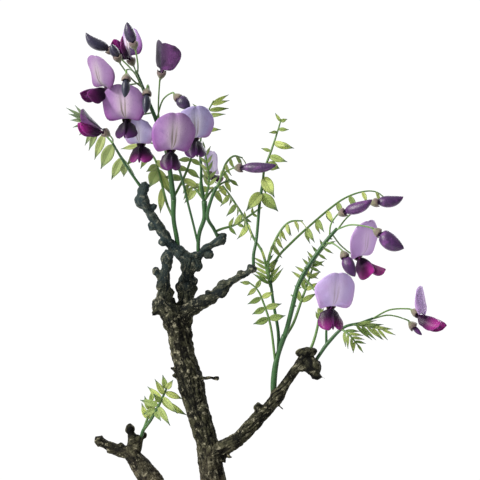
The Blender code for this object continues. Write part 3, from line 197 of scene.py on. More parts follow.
def add_sheet(shape, place, rows, columns, where, tint, wraps=False):
    """A sheet of the points where(u, v): u from -1 to 1 across, v from 0 to 1 along, closed round or not."""
    uv = shape.loops.layers.uv["blade"]
    tints = shape.verts.layers.float["tint"]
    spots = []
    for row in range(rows + 1):
        line = []
        for column in range(columns + (not wraps)):
            spot = shape.verts.new(place @ Vector(where(2 * column / columns - 1, row / rows)) * MM)
            spot[tints] = tint
            line.append(spot)
        spots.append(line)
    for row in range(rows):
        for column in range(columns):
            after = (column + 1) % len(spots[row])
            corners = (spots[row][column], spots[row][after], spots[row + 1][after], spots[row + 1][column])
            face = shape.faces.new(corners)
            places = ((column, row), (column + 1, row), (column + 1, row + 1), (column, row + 1))
            for loop, (i, j) in zip(face.loops, places):
                loop[uv].uv = (2 * i / columns - 1, j / rows)
    return spots


def close_ends(shape, spots):
    """Closes a sheet that wraps round with a face at each end."""
    shape.faces.new(list(reversed(spots[0])))
    shape.faces.new(spots[-1])


def add_tube(shape, path, steps, sides, tint):
    """A closed tube along a smooth curve through the path."""
    points = smooth(path, steps)
    frames = []
    normal = None
    for index, point in enumerate(points):
        a, b = points[max(0, index - 1)], points[min(len(points) - 1, index + 1)]
        run = Vector((b - a)[:3]).normalized()
        normal = run.orthogonal() if normal is None else normal - normal.dot(run) * run
        normal.normalize()
        frames.append((Vector(point[:3]), normal.copy(), run.cross(normal), point[3]))
    last = len(points) - 1

    def where(u, v):
        centre, x, y, radius = frames[round(v * last)]
        turn = math.pi * (u + 1)
        return centre + radius * (math.cos(turn) * x + math.sin(turn) * y)

    close_ends(shape, add_sheet(shape, Matrix.Identity(4), last, sides, where, tint, wraps=True))


def finish(name, shape, look, nodes, thickness=0.0, mesh=None):
    """The finished piece: thickened if asked, with its material, riding on the part for its CAD nodes."""
    if mesh is None:
        mesh = bpy.data.meshes.new(name)
        bmesh.ops.remove_doubles(shape, verts=shape.verts, dist=1e-7)
        if not thickness:
            bmesh.ops.recalc_face_normals(shape, faces=shape.faces)
        shape.to_mesh(mesh)
        shape.free()
    mesh.materials.clear()
    mesh.materials.append(look)
    piece = bpy.data.objects.new(name, mesh)
    bpy.context.scene.collection.objects.link(piece)
    if thickness:
        solid = piece.modifiers.new("thickness", "SOLIDIFY")
        solid.thickness = thickness * MM
        solid.offset = 0.0
        piece.data = applied(piece)
    piece.data.shade_smooth()
    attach(piece, "root")
    if nodes:
        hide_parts(*nodes)
    return piece


def applied(piece):
    """The piece's mesh with its modifiers applied, and the modifiers gone."""
    bpy.context.view_layer.update()
    graph = bpy.context.evaluated_depsgraph_get()
    mesh = bpy.data.meshes.new_from_object(piece.evaluated_get(graph))
    piece.modifiers.clear()
    return mesh


# Materials


def linear(red, green, blue):
    """A colour given from 0 to 255 a channel, as the shader takes it."""
    parts = []
    for part in (red, green, blue):
        share = part / 255
        parts.append(share / 12.92 if share <= 0.04045 else ((share + 0.055) / 1.055) ** 2.4)
    return (*parts, 1.0)


class Look:
    """A material under construction: each method adds one node and returns its output."""

    def __init__(self, name):
        self.material = bpy.data.materials.new(name)
        self.material.use_nodes = True
        self.tree = self.material.node_tree
        self.shader = self.tree.nodes["Principled BSDF"]
        self.output = self.tree.nodes["Material Output"]

    def plug(self, value, socket):
        if isinstance(value, bpy.types.NodeSocket):
            self.tree.links.new(value, socket)
        else:
            socket.default_value = value

    def add(self, kind, inputs=()):
        """A node of this kind, with what goes into its inputs given by name or number."""
        node = self.tree.nodes.new(f"ShaderNode{kind}")
        for key, value in dict(inputs).items():
            self.plug(value, node.inputs[key])
        return node

    def maths(self, operation, a, b=0.0):
        node = self.add("Math", {0: a, 1: b})
        node.operation = operation
        return node.outputs[0]

    def times(self, a, b):
        return self.maths("MULTIPLY", a, b)

    def size_of(self, value):
        return self.maths("ABSOLUTE", value)

    def span(self, value, low, high):
        """0 where the value is at low, 1 where it is at high, and smooth between."""
        ends = {"From Min": min(low, high), "From Max": max(low, high)}
        ends.update({"To Min": float(low > high), "To Max": float(low < high)})
        node = self.add("MapRange")
        node.interpolation_type = "SMOOTHSTEP"
        for key, end in {"Value": value, **ends}.items():
            self.plug(end, node.inputs[key])
        return node.outputs["Result"]

    def mix(self, share, a, b):
        """A blend of two colours, each a node's or given from 0 to 255 a channel."""
        node = self.add("Mix", {0: share})
        node.data_type = "RGBA"
        for key, colour in ((6, a), (7, b)):
            given = isinstance(colour, tuple) and len(colour) == 3
            self.plug(linear(*colour) if given else colour, node.inputs[key])
        return node.outputs[2]

    def stain(self, under, where, strength, over):
        """A colour with another over it, at this strength where the mask is 1."""
        return self.mix(self.times(where, strength), under, over)

    def position(self):
        return self.add("TexCoord").outputs["Object"]

    def place(self, axis):
        """Where a point is along an axis of the part's frame, in metres."""
        return self.add("SeparateXYZ", {0: self.position()}).outputs[axis]

    def noise(self, size, detail=3.0, roughness=0.6, stretch=(1, 1, 1)):
        """Noise in the part's frame, with lumps of about this many millimetres."""
        turn = self.add("Mapping", {"Scale": stretch, "Vector": self.position()})
        facts = {"Scale": 1 / (size * MM), "Detail": detail, "Roughness": roughness}
        return self.add("TexNoise", {**facts, "Vector": turn.outputs[0]}).outputs["Fac"]

    def cells(self, size):
        facts = {"Scale": 1 / (size * MM), "Vector": self.position()}
        return self.add("TexVoronoi", facts).outputs["Distance"]

    def blade(self):
        """The place on a blade: -1 to 1 across it from edge to edge, and 0 to 1 along it."""
        node = self.add("UVMap")
        node.uv_map = "blade"
        parts = self.add("SeparateXYZ", {0: node.outputs[0]})
        return parts.outputs[0], parts.outputs[1]

    def attribute(self, name):
        node = self.add("Attribute")
        node.attribute_name = name
        return node.outputs["Fac"]

    def bump(self, height, depth):
        """Relief of this depth in millimetres."""
        node = self.add("Bump", {"Distance": depth * MM, "Height": height})
        self.plug(node.outputs[0], self.shader.inputs["Normal"])

    def finish(self, colour, roughness, through=0.0, sheen=0.0, gloss=0.3):
        """Sets the surface, and lets this share of the light through the blade."""
        facts = {"Base Color": colour, "Roughness": roughness, "Sheen Weight": sheen}
        for key, value in {**facts, "Specular IOR Level": gloss}.items():
            self.plug(value, self.shader.inputs[key])
        if through:
            glow = self.add("BsdfTranslucent", {"Color": colour})
            blend = self.add("MixShader", {0: through, 1: self.shader.outputs[0], 2: glow.outputs[0]})
            self.plug(blend.outputs[0], self.output.inputs["Surface"])
        return self.material


def veins(look, u, v, pairs, slant, width):
    """Slanting side veins and a midrib on a leaflet: 1 on a vein and 0 between them."""
    away = look.size_of(u)
    phase = look.maths("SUBTRACT", look.times(v, pairs), look.times(away, slant))
    wave = look.size_of(look.maths("SINE", look.times(phase, math.pi)))
    side = look.span(wave, width, 0.0)
    rib = look.span(away, 0.11, 0.03)
    return look.maths("MAXIMUM", look.times(side, 0.6), rib)


def leaf_look():
    """Yellow-green and veined, deeper at tip and edge, paler on the left and grey-green at the far left."""
    look = Look("leaf")
    u, v = look.blade()
    young = look.mix(look.attribute("tint"), (92, 124, 58), (200, 208, 134))
    body = look.stain(young, look.noise(5), 0.4, (156, 176, 108))
    colour = look.mix(look.span(v, 0.6, 1.0), body, (70, 104, 84))
    colour = look.stain(colour, look.span(look.size_of(u), 0.8, 1.0), 0.3, (84, 116, 70))
    left = look.times(look.span(look.place(0), 0.0, -0.09), look.span(look.place(2), 0.2, 0.3))
    colour = look.stain(colour, left, 0.45, (150, 158, 122))
    colour = look.stain(colour, look.span(look.place(0), -0.1, -0.12), 0.6, (96, 122, 108))
    vein = veins(look, u, v, pairs=8, slant=1.6, width=0.35)
    colour = look.stain(colour, vein, 0.35, (74, 106, 52))
    look.bump(look.times(vein, -1.0), 0.18)
    return look.finish(colour, 0.5, through=0.55, sheen=0.15)


def stem_look():
    look = Look("green_stem")
    patchy = look.noise(4, stretch=(1, 1, 0.3))
    fresh = look.mix(look.attribute("tint"), (8, 54, 22), (88, 118, 56))
    colour = look.stain(fresh, look.span(patchy, 0.45, 0.75), 0.45, (48, 88, 38))
    look.bump(look.noise(0.8), 0.15)
    return look.finish(colour, 0.42, sheen=0.1)


def cup_look():
    look = Look("calyx")
    base = look.mix(look.span(look.blade()[1], 0.1, 0.9), (84, 88, 62), (82, 66, 66))
    colour = look.mix(look.span(look.noise(2.2), 0.4, 0.8), base, (108, 104, 82))
    look.bump(look.noise(0.7), 0.2)
    return look.finish(colour, 0.7, sheen=0.2)


def banner_look():
    """Lavender with a pale middle, two olive streaks above the claw, and fine veins that fan out from it.

    A tint under 0 makes the petal paler, as painted light, and one from 1.2 to 2 as dusky as a petal that is
    still folded, which on open flowers is painted shade.
    """
    look = Look("banner_petal")
    u, v = look.blade()
    away = look.size_of(u)
    tint = look.attribute("tint")
    rim = look.mix(tint, (150, 142, 186), (164, 128, 178))
    rim = look.stain(rim, look.span(look.noise(9, detail=2), 0.45, 0.75), 0.6, (136, 100, 158))
    pale = look.mix(tint, (204, 204, 214), (208, 194, 206))
    middle = look.times(look.span(away, 0.62, 0.06), look.span(v, 1.05, 0.6))
    colour = look.stain(rim, middle, 0.85, pale)
    edge = look.times(look.span(away, 0.6, 1.0), look.span(v, 1.0, 0.35))
    colour = look.stain(colour, edge, 0.85, (136, 58, 146))
    streak = look.span(look.size_of(look.maths("SUBTRACT", away, 0.1)), 0.07, 0.02)
    streak = look.times(streak, look.span(v, 0.85, 0.45))
    colour = look.stain(colour, streak, 0.75, (112, 104, 76))
    wander = look.maths("ADD", u, look.times(look.noise(4), 0.6))
    fine = look.span(look.size_of(look.maths("SINE", look.times(wander, 38.0))), 0.35, 0.0)
    colour = look.stain(colour, fine, 0.36, (98, 64, 124))
    # Painted light: a tint under 0 lightens the whole petal, so that petals which face the light less look
    # as bright as the rest.
    colour = look.stain(colour, look.span(tint, 0.0, -1.0), 0.7, (222, 210, 232))
    # Painted light: petals right of the part's middle are lightened towards pale lavender, as if lit more.
    colour = look.stain(colour, look.span(look.place(0), 0.0, 0.045), 0.5, (222, 196, 238))
    folded = look.times(look.span(u, 0.3, -0.9), look.span(look.noise(6), 0.2, 0.6))
    dusky = look.mix(folded, (52, 38, 66), (122, 62, 132))
    # A tint from 1.2 to 2 gives a folded petal's own dusky colour; on the open flowers that carry it, it is
    # painted shade.
    colour = look.mix(look.span(tint, 1.2, 2.0), colour, dusky)
    look.bump(look.maths("ADD", look.times(fine, -0.4), look.noise(3)), 0.35)
    return look.finish(colour, 0.5, through=0.4, sheen=0.15)


def wing_look():
    """Dark aubergine, brighter and more magenta towards the petal's end, with fine lengthwise veins."""
    look = Look("wing_petal")
    u, v = look.blade()
    tint = look.attribute("tint")
    bright = look.mix(tint, (62, 22, 74), (156, 34, 130))
    dark = look.mix(tint, (18, 6, 26), (46, 10, 50))
    colour = look.mix(look.span(v, 0.3, 0.95), dark, bright)
    colour = look.stain(colour, look.span(look.size_of(u), 0.75, 1.0), 0.45, (112, 56, 118))
    lines = look.span(look.size_of(look.maths("SINE", look.times(u, 26.0))), 0.4, 0.0)
    colour = look.stain(colour, lines, 0.3, (26, 10, 34))
    look.bump(look.maths("ADD", look.times(lines, -0.5), look.noise(3)), 0.3)
    return look.finish(colour, 0.4, through=0.22, gloss=0.2)


def bud_look():
    """Slate to dark purple, browner at the foot, with a dark seam along each side."""
    look = Look("bud")
    u, v = look.blade()
    tint = look.attribute("tint")
    slate = look.mix(tint, (22, 26, 42), (52, 18, 66))
    colour = look.mix(look.span(v, 0.26, 0.08), slate, (84, 78, 76))
    purple = look.mix(tint, (54, 50, 72), (122, 52, 134))
    colour = look.stain(colour, look.span(look.noise(4), 0.45, 0.8), 0.6, purple)
    seam = look.span(look.size_of(look.maths("SUBTRACT", look.size_of(u), 0.5)), 0.05, 0.0)
    colour = look.stain(colour, seam, 0.5, (18, 16, 26))
    look.bump(look.noise(1.1), 0.2)
    return look.finish(colour, 0.42, sheen=0.08, gloss=0.35)


def bark_look():
    """Dark plates with light flecks, black painted shade in the cracks, bluer high up and paler on the
    lowest branch.
    """
    look = Look("bark")
    crack = look.attribute("plate")
    height = look.place(2)
    broad = look.span(look.noise(9, detail=6, roughness=0.75), 0.35, 0.68)
    plates = look.mix(broad, (6, 6, 4), (58, 58, 42))
    patches = look.span(look.noise(2.8, detail=6, roughness=0.72), 0.5, 0.7)
    flecks = look.times(patches, look.span(crack, 0.25, 0.7))
    colour = look.stain(plates, flecks, 0.75, (150, 146, 124))
    # Painted shade: the fissures are darkened nearly to black, as shade in the recesses.
    colour = look.mix(look.span(crack, 0.6, 0.1), colour, (6, 6, 5))
    colour = look.stain(colour, look.span(height, 0.235, 0.3), 0.45, (44, 60, 64))
    low = look.times(look.span(height, 0.17, 0.13), 0.35)
    colour = look.stain(colour, low, broad, (104, 94, 80))
    look.bump(look.maths("ADD", look.noise(0.9, detail=4), look.times(look.noise(2.4), 1.4)), 0.7)
    return look.finish(colour, 0.88, gloss=0.1)


def clay_look():
    look = Look("fired_clay")
    mottled = look.mix(look.noise(22, detail=4), (88, 62, 50), (120, 88, 70))
    dusty = look.span(look.noise(60, detail=2), 0.45, 0.75)
    colour = look.stain(mottled, dusty, 0.3, (134, 112, 94))
    specks = look.span(look.noise(0.9, detail=1), 0.66, 0.74)
    colour = look.stain(colour, specks, 0.5, (56, 40, 34))
    foot = look.span(look.place(2), 0.012, 0.0)
    colour = look.stain(colour, foot, 0.4, (60, 46, 38))
    look.bump(look.maths("ADD", look.noise(1.2), look.times(look.noise(14), 2.0)), 0.5)
    return look.finish(colour, look.mix(mottled, (0.6,) * 4, (0.85,) * 4))


def soil_look():
    look = Look("soil")
    colour = look.mix(look.noise(3, detail=5), (42, 32, 26), (84, 66, 52))
    look.bump(look.maths("ADD", look.noise(1.2), look.cells(2.6)), 1.2)
    return look.finish(colour, 0.95)


def grit_look():
    look = Look("grit")
    colour = look.mix(look.attribute("tint"), (66, 50, 40), (136, 112, 88))
    colour = look.stain(colour, look.noise(1.5), 0.6, (92, 78, 64))
    look.bump(look.noise(0.6), 0.3)
    return look.finish(colour, 0.93)


def moss_look():
    look = Look("moss")
    colour = look.mix(look.attribute("tint"), (48, 70, 24), (122, 142, 56))
    return look.finish(colour, 0.8, sheen=0.4)


def screen_look():
    look = Look("screen_plastic")
    colour = look.mix(look.noise(3), (30, 30, 30), (52, 50, 48))
    look.bump(look.noise(0.8), 0.1)
    return look.finish(colour, 0.55)


LEAF = leaf_look()
STEM = stem_look()
CUP = cup_look()
BANNER = banner_look()
WING = wing_look()
BUD = bud_look()
BARK = bark_look()
CLAY = clay_look()
SOIL = soil_look()
GRIT = grit_look()
MOSS = moss_look()
SCREEN = screen_look()


# Leaflets and leaves


def leaflet(shape, base, tip, width, face, tint):
    """A thin blade from base to a drawn-out tip, folded up along its rib, arched, and waved at its edges."""
    base, tip = Vector(base), Vector(tip)
    length = (tip - base).length
    wave = 7 * tint

    def where(u, v):
        half = width / 2 * math.sin(math.pi * min(v, 0.999) ** 0.74) ** (0.75 + 0.75 * v) + 0.06
        fold = LEAFLET_FOLD * half * abs(u)
        arch = 4 * LEAFLET_ARCH * length * v * (1 - v)
        ripple = 0.05 * width * abs(u) ** 2 * math.sin(11 * v + wave + (u > 0))
        return (length * v, half * u, fold + arch + ripple)

    grid = BROAD_GRID if width > BROAD_LEAFLET else NARROW_GRID
    add_sheet(shape, placed(base, tip - base, face), *grid, where, tint)


def placed_leaf(stems, blades, draw, path, leaflets):
    """A leaf whose leaflets are placed one by one: share of the rib's length, tip and width."""
    points = smooth(path, 3)
    add_tube(stems, path, *RIB_TUBE, 0.6)
    for share, tip, width in leaflets:
        base, _ = along(points, min(share, LAST_SHARE))
        leaflet(blades, base, tip, width, TOWARDS_VIEWER, draw.uniform(0.3, 1.0))


def paired_leaf(
    stems, blades, shades, path, pairs, length, width, start, spread, hang, taper, seed, face=TOWARDS_VIEWER
):
    """A leaf with pairs of leaflets along its rib and one at its end, shorter towards the tip."""
    draw = random.Random(SEED + seed)
    points = smooth(path, 3)
    add_tube(stems, path, *RIB_TUBE, 0.6)
    for pair in range(pairs + 1):
        share = start + (1 - start) * pair / pairs
        base, run = along(points, min(share, LAST_SHARE))
        normal = (Vector(face) - Vector(face).dot(run) * run).normalized()
        outwards = run.cross(normal)
        size = 1 - taper * pair / pairs
        for side in (0,) if pair == pairs else (-1, 1):
            angle = math.radians(spread * abs(side) + draw.uniform(-6, 6))
            aim = math.cos(angle) * run + side * math.sin(angle) * outwards
            aim = (aim + Vector((0, 0, -hang))).normalized()
            reach = length * size * draw.uniform(0.9, 1.08)
            tint = shades.uniform(0.0, 0.75) if width < 3 else shades.uniform(0.2, 1.0)
            leaflet(blades, base, base + reach * aim, width * size, normal, tint)


# Flowers and buds


def calyx(shape, foot_at, axis, tint):
    """A cup with five short teeth, its foot at a place and its mouth along the axis."""

    def where(u, v):
        turn = math.pi * (u + 1)
        swell = CALYX_RADIUS * (0.27 + 0.73 * math.sin(0.5 * math.pi * min(1.0, 1.15 * v)))
        tooth = max(0.0, math.cos(2.5 * turn)) ** 1.5 if v > 0.99 else 0.0
        swell *= 1 + 0.03 * math.cos(5 * turn)
        return (-0.3 + CALYX_DEPTH * v + 1.1 * tooth, swell * math.cos(turn), swell * math.sin(turn))

    spots = add_sheet(shape, placed(foot_at, axis, UPWARDS), *CALYX_GRID, where, tint, wraps=True)
    shape.faces.new(list(reversed(spots[0])))


def stalk(shape, start, foot_at, axis, tint):
    """A flower stalk that leaves a stem at the start and comes into the calyx's foot along its axis."""
    start, end, axis = Vector(start), Vector(foot_at), Vector(axis).normalized()
    reach = 0.35 * (end - start).length
    middle = start.lerp(end - reach * axis, 0.62)
    path = [(*p, STALK_RADIUS) for p in (start, middle, end - 0.3 * reach * axis)]
    path.append((*(end + 0.3 * axis), STALK_RADIUS * 1.7))
    add_tube(shape, path, *STALK_TUBE, tint)


def banner(name, place, width, height, lean, curl, tint):
    """The upright petal: a claw out of the calyx, then a broad blade that leans back, curls and ripples."""
    mid_line = banner_mid_line(width, height, lean)
    last = len(mid_line) - 1

    def where(u, v):
        x, z, angle, half, hang = mid_line[round(v * last)]
        row = BANNER_ROWS * v
        run = (math.cos(angle), math.sin(angle))
        normal = (run[1], -run[0])
        spread = min(1.0, max(0.0, row - 1))
        back = curl * half * u**2 * spread
        ripple = BANNER_RIPPLE * spread * abs(u) ** 2.5 * math.sin(9 * v + 5 * tint + 3 * u)
        crease = 0.7 * spread * math.exp(-((u / 0.16) ** 2))
        half *= 1 + 0.03 * spread * math.sin(13 * v + 7 * tint + 2 * u)
        low = hang * height * u**2 + BANNER_NOTCH * height * (1 - abs(u)) ** 4 * max(0.0, row - 4)
        out = ripple - back - crease
        return (x + out * normal[0] - low * run[0], u * half, z + out * normal[1] - low * run[1])

    shape = new_shape()
    add_sheet(shape, place, last, BANNER_COLUMNS, where, tint)
    finish(f"{name}_banner_petal", shape, BANNER, [f"{name}_banner"], PETAL_THICK)


def banner_mid_line(width, height, lean):
    """Place in the flower's X and Z, angle, half width and hang of the banner, finely along its middle."""
    x, z = CLAW_START
    rows = []
    blade_step = height / (BANNER_ROWS - 1.4)
    for row in range(BANNER_ROWS + 1):
        share = min(1.0, max(0.0, (row - BEND_FROM) / BEND_OVER))
        angle = math.radians(lean * share + 4 * max(0, row - 2))
        half = max(CLAW_HALF_WIDTH, width / 2 * BANNER_HALF_WIDTH[row]) if row > 1 else CLAW_HALF_WIDTH
        rows.append((Vector((x, z, angle, half)), Vector((BANNER_HANG[row], 0))))
        step = CLAW_LENGTH if row == 0 else blade_step
        x += step * math.cos(angle)
        z += step * math.sin(angle)
    places = smooth([place for place, _ in rows], BANNER_STEPS)
    hangs = smooth([hang for _, hang in rows], BANNER_STEPS)
    return [(*place, hang[0]) for place, hang in zip(places, hangs)]


def face_of_wing(droop, side):
    """A wing stands on edge beside the keel in a level flower, and opens to the front in a drooping one."""
    x, y, z = Vector(LEVEL_WING).lerp(Vector(DROOPING_WING), min(1.0, droop / FULL_DROOP))
    return (x, y * side, z)


def wing(shape, start, aim, face, side, length, width, tint):
    """A wing petal: a cupped blade beside the keel, broad at its end, with an ear at its base."""

    def where(u, v):
        half = width / 2 * (math.sin(math.pi * v**1.25) ** 0.6 if 0 < v < 1 else 0.0) + 0.15
        outer = u * side > 0
        ear = 0.14 * width * math.exp(-(((v - 0.2) / 0.1) ** 2)) * outer
        cup = -0.3 * half * u * u
        ripple = 0.35 * math.sin(7 * v + 3 * tint + 2 * u) * u * u
        return (length * v, half * (u + WING_OUTWARDS * side) + ear * side, cup + ripple)

    add_sheet(shape, placed(start, aim, face), *WING_GRID, where, tint)


def keel(shape, start, aim, length, width, tint):
    """The keel: two petals joined as a narrow boat with a sharp lower edge, upturned at its tip."""

    def where(u, v):
        turn = math.pi * (u + 1)
        half = width / 2 * (math.sin(math.pi * v) ** 0.6 if 0 < v < 1 else 0.0) + 0.12
        side = 1.15 * math.sin(turn) * min(1.0, 2.4 * half / width) * (1 - 0.3 * abs(math.cos(turn)))
        return (length * v, half * math.cos(turn) + 0.14 * length * v * v, side)

    spots = add_sheet(shape, placed(start, aim, (0, 1, 0)), *KEEL_GRID, where, tint, wraps=True)
    close_ends(shape, spots)


def wings_and_keel(name, place, length, width, droop, splay, tint):
    """The two wings round the keel, on one root that stands in the calyx."""
    slope = math.radians(droop)
    forward = Vector((math.cos(slope), 0, -math.sin(slope)))
    start = Vector((5.2, 0, -1.0))
    blades, boat = new_shape(), new_shape()
    for side in (-1, 1):
        aim = forward + Vector((0, math.sin(math.radians(splay)) * side, 0))
        at = start + Vector((-0.3, WING_APART * side, 0.3))
        wing(blades, at, aim, face_of_wing(droop, side), side, length, width, tint)
    keel(boat, start, forward, 0.9 * length, KEEL_WIDTH * width, tint * 0.4)
    add_tube(boat, [(2.0, 0, -0.85, 0.7), (4.6, 0, -0.9, 0.8), (6.5, 0, -1.0, 1.0)], 3, 8, tint * 0.4)
    blades.transform(metres(place))
    boat.transform(metres(place))
    node = [f"{name}_wings_keel"]
    finish(f"{name}_wings", blades, WING, node, PETAL_THICK)
    finish(f"{name}_keel", boat, WING, node)


def metres(place):
    """The same placing, for a shape that is already in metres."""
    made = place.copy()
    made.translation = made.translation * MM
    return made


def bud(name, foot_at, tip, thick, bend, tint):
    """A closed flower bud: slender in the cup, plump beyond it, bent towards its tip, creased underneath."""
    foot_at, tip = Vector(foot_at), Vector(tip)
    start = 0.42 * CALYX_DEPTH
    length = (tip - foot_at).length - start
    profile = smooth([(*spot, 0) for spot in BUD_PROFILE], 3)
    last = len(profile) - 1

    def where(u, v):
        t, full = profile[round(v * last)][:2]
        radius = thick / 2 * max(full, 0.02)
        if t < 0.16:
            radius = min(radius, BUD_FOOT_RADIUS)
        turn = math.pi * (u + 1)
        crease = 1 - 0.07 * math.exp(-(((math.sin(turn) + 1) / 0.3) ** 2)) * math.sin(math.pi * t)
        y = BUD_FLATNESS * radius * math.cos(turn) * (1 - 0.18 * math.sin(turn))
        z = radius * crease * math.sin(turn)
        sag = 2.2 * bend * length * (1 - t) * t * t
        return (start + length * t, y, z - sag)

    shape = new_shape()
    place = placed(foot_at, tip - foot_at, UPWARDS)
    close_ends(shape, add_sheet(shape, place, last, BUD_SIDES, where, tint, wraps=True))
    finish(f"{name}_petals", shape, BUD, [name])


# Open flowers: foot of the calyx, axis, up, banner width, height, lean and curl, wing length, width, droop
# and splay, and the tints of banner and wings; a banner tint under 0 is painted light, and one from 1.2 to 2
# is a folded petal's dusky colour that also serves as painted shade on open flowers
FLOWERS = {
    "flower_low_front": (
        (47, -25, 251), (0.34, -0.9, -0.25), (0, 0, 1), 27, 23, 84, 0.22, 15.5, 10, 56, 14, 0.0, 0.5
    ),
    "flower_right_high": (
        (64, -2, 283), (0.68, -0.68, -0.26), (-0.25, 0, 1), 25, 25, 84, 0.3, 20, 12, 12, 16, 0.9, 0.9
    ),
    "flower_far_right": (
        (101, -15, 247), (0.84, -0.36, -0.42), (0.35, 0, 1), 18, 18, 124, 0.5, 19.5, 9, -6, 18, 0.6, 0.8
    ),
    "flower_left": (
        (-92, -17, 391), (-0.78, -0.6, -0.12), (0.1, -0.1, 1), 27, 21, 74, 0.25, 18, 10, 5, 12, 1.55, 0.3
    ),
    "flower_left_front": (
        (-82, -12, 371), (-0.2, -0.93, -0.2), (0, 0, 1), 29, 23, 82, 0.2, 13, 9, 52, 10, 1.45, 0.0
    ),
    "flower_top": (
        (-79, -3, 406), (-0.42, -0.2, 0.88), (0.6, 0.7, 0.3), 18, 18, 26, 0.5, 16, 9.4, 4, 14, 0.7, 0.6
    ),
    "flower_left_shut": (
        (-94, -16, 360), (-0.8, -0.3, 0.5), (0.1, 0.1, 1), 14, 17, 12, -0.4, 17, 8, 10, 5, 2.0, 0.8
    ),
    "flower_centre": (
        (-73, 0, 356), (-0.24, -0.92, -0.25), (0, 0, 1), 20, 17, 80, 0.25, 13, 9, 52, 16, -0.4, 0.5
    ),
    "flower_front": (
        (-55, -26, 351), (0.24, -0.92, -0.25), (0, 0, 1), 28, 25, 82, 0.25, 13, 8.5, 58, 8, 1.3, 0.1
    ),
    "flower_back": (
        (-40, -13, 359), (0.24, -0.92, -0.25), (-0.1, 0, 1), 24, 22, 80, 0.35, 12.5, 8.5, 56, 12, -0.3, 0.0
    ),
    "flower_small": (
        (-33, 8, 334), (0.8, 0.5, 0.25), (0.15, -0.1, 1), 16, 14, 84, 0.3, 9, 5, 20, 10, -1.0, 0.5
    ),
    "flower_opening": (
        (-61, -12, 397), (0.2, -0.3, 0.94), (-0.45, -0.88, 0.1), 19, 18, 14, -0.6, 18, 8, 0, 4, 2.0, 0.7
    ),
}
# Buds: foot of the calyx, tip, thickness, bend and tint from slate to purple
BUDS = {
    "bud_right_plump": ((76, -27, 299), (95, -31, 287), 11.4, 0.2, 0.9),
    "bud_right_low": ((56, -20, 285), (64, -26, 269), 8.6, 0.1, 0.9),
    "bud_right_inner": ((54, -15, 309), (75, -23, 318.5), 8.0, 0.2, 1.0),
    "bud_right_outer": ((75, -9, 316), (96, -9, 320.5), 8.0, 0.24, 0.8),
    "bud_far_right": ((100, -7, 239), (108, -9, 231), 3.6, 0.1, 1.0),
    "bud_left_front": ((-82, -35, 398), (-83, -40, 383), 6.4, 0.05, 0.0),
    "bud_rib_front": ((-69, -30, 389), (-70, -35, 373), 6.4, 0.05, 0.0),
    "bud_left_long": ((-91, -14, 413), (-109, -18, 426), 7.8, 0.36, 0.1),
    "bud_left_small": ((-87, -22, 407), (-92, -27, 418), 6.4, 0.1, 0.1),
    "bud_top": ((-77, -24, 415), (-82, -27, 432), 7.6, 0.1, 0.2),
    "bud_round": ((-52, -14, 386), (-42, -19, 377), 8.6, 0.0, 0.3),
    "bud_middle_long": ((-13, -8, 339), (14, -15, 341), 7.2, 0.14, 0.7),
}


def make_flowers():
    for name, facts in FLOWERS.items():
        foot_at, axis, up, width, height, lean, curl, long, broad, droop, splay, banner_hue_and_light, magenta = facts
        place = placed(foot_at, axis, up)
        banner(name, place, width, height, lean, curl, banner_hue_and_light)
        wings_and_keel(name, place, long, broad, droop, splay, magenta)
    for name, facts in BUDS.items():
        bud(name, *facts)


# Leafy shoots, in the order that they are made
SHOOTS = (
    "shoot_left_knob", "shoot_left", "shoot_middle", "shoot_stub", "shoot_small_branch", "shoot_right",
    "shoot_right_tip", "shoot_right_tip_stem", "shoot_young_low",
)
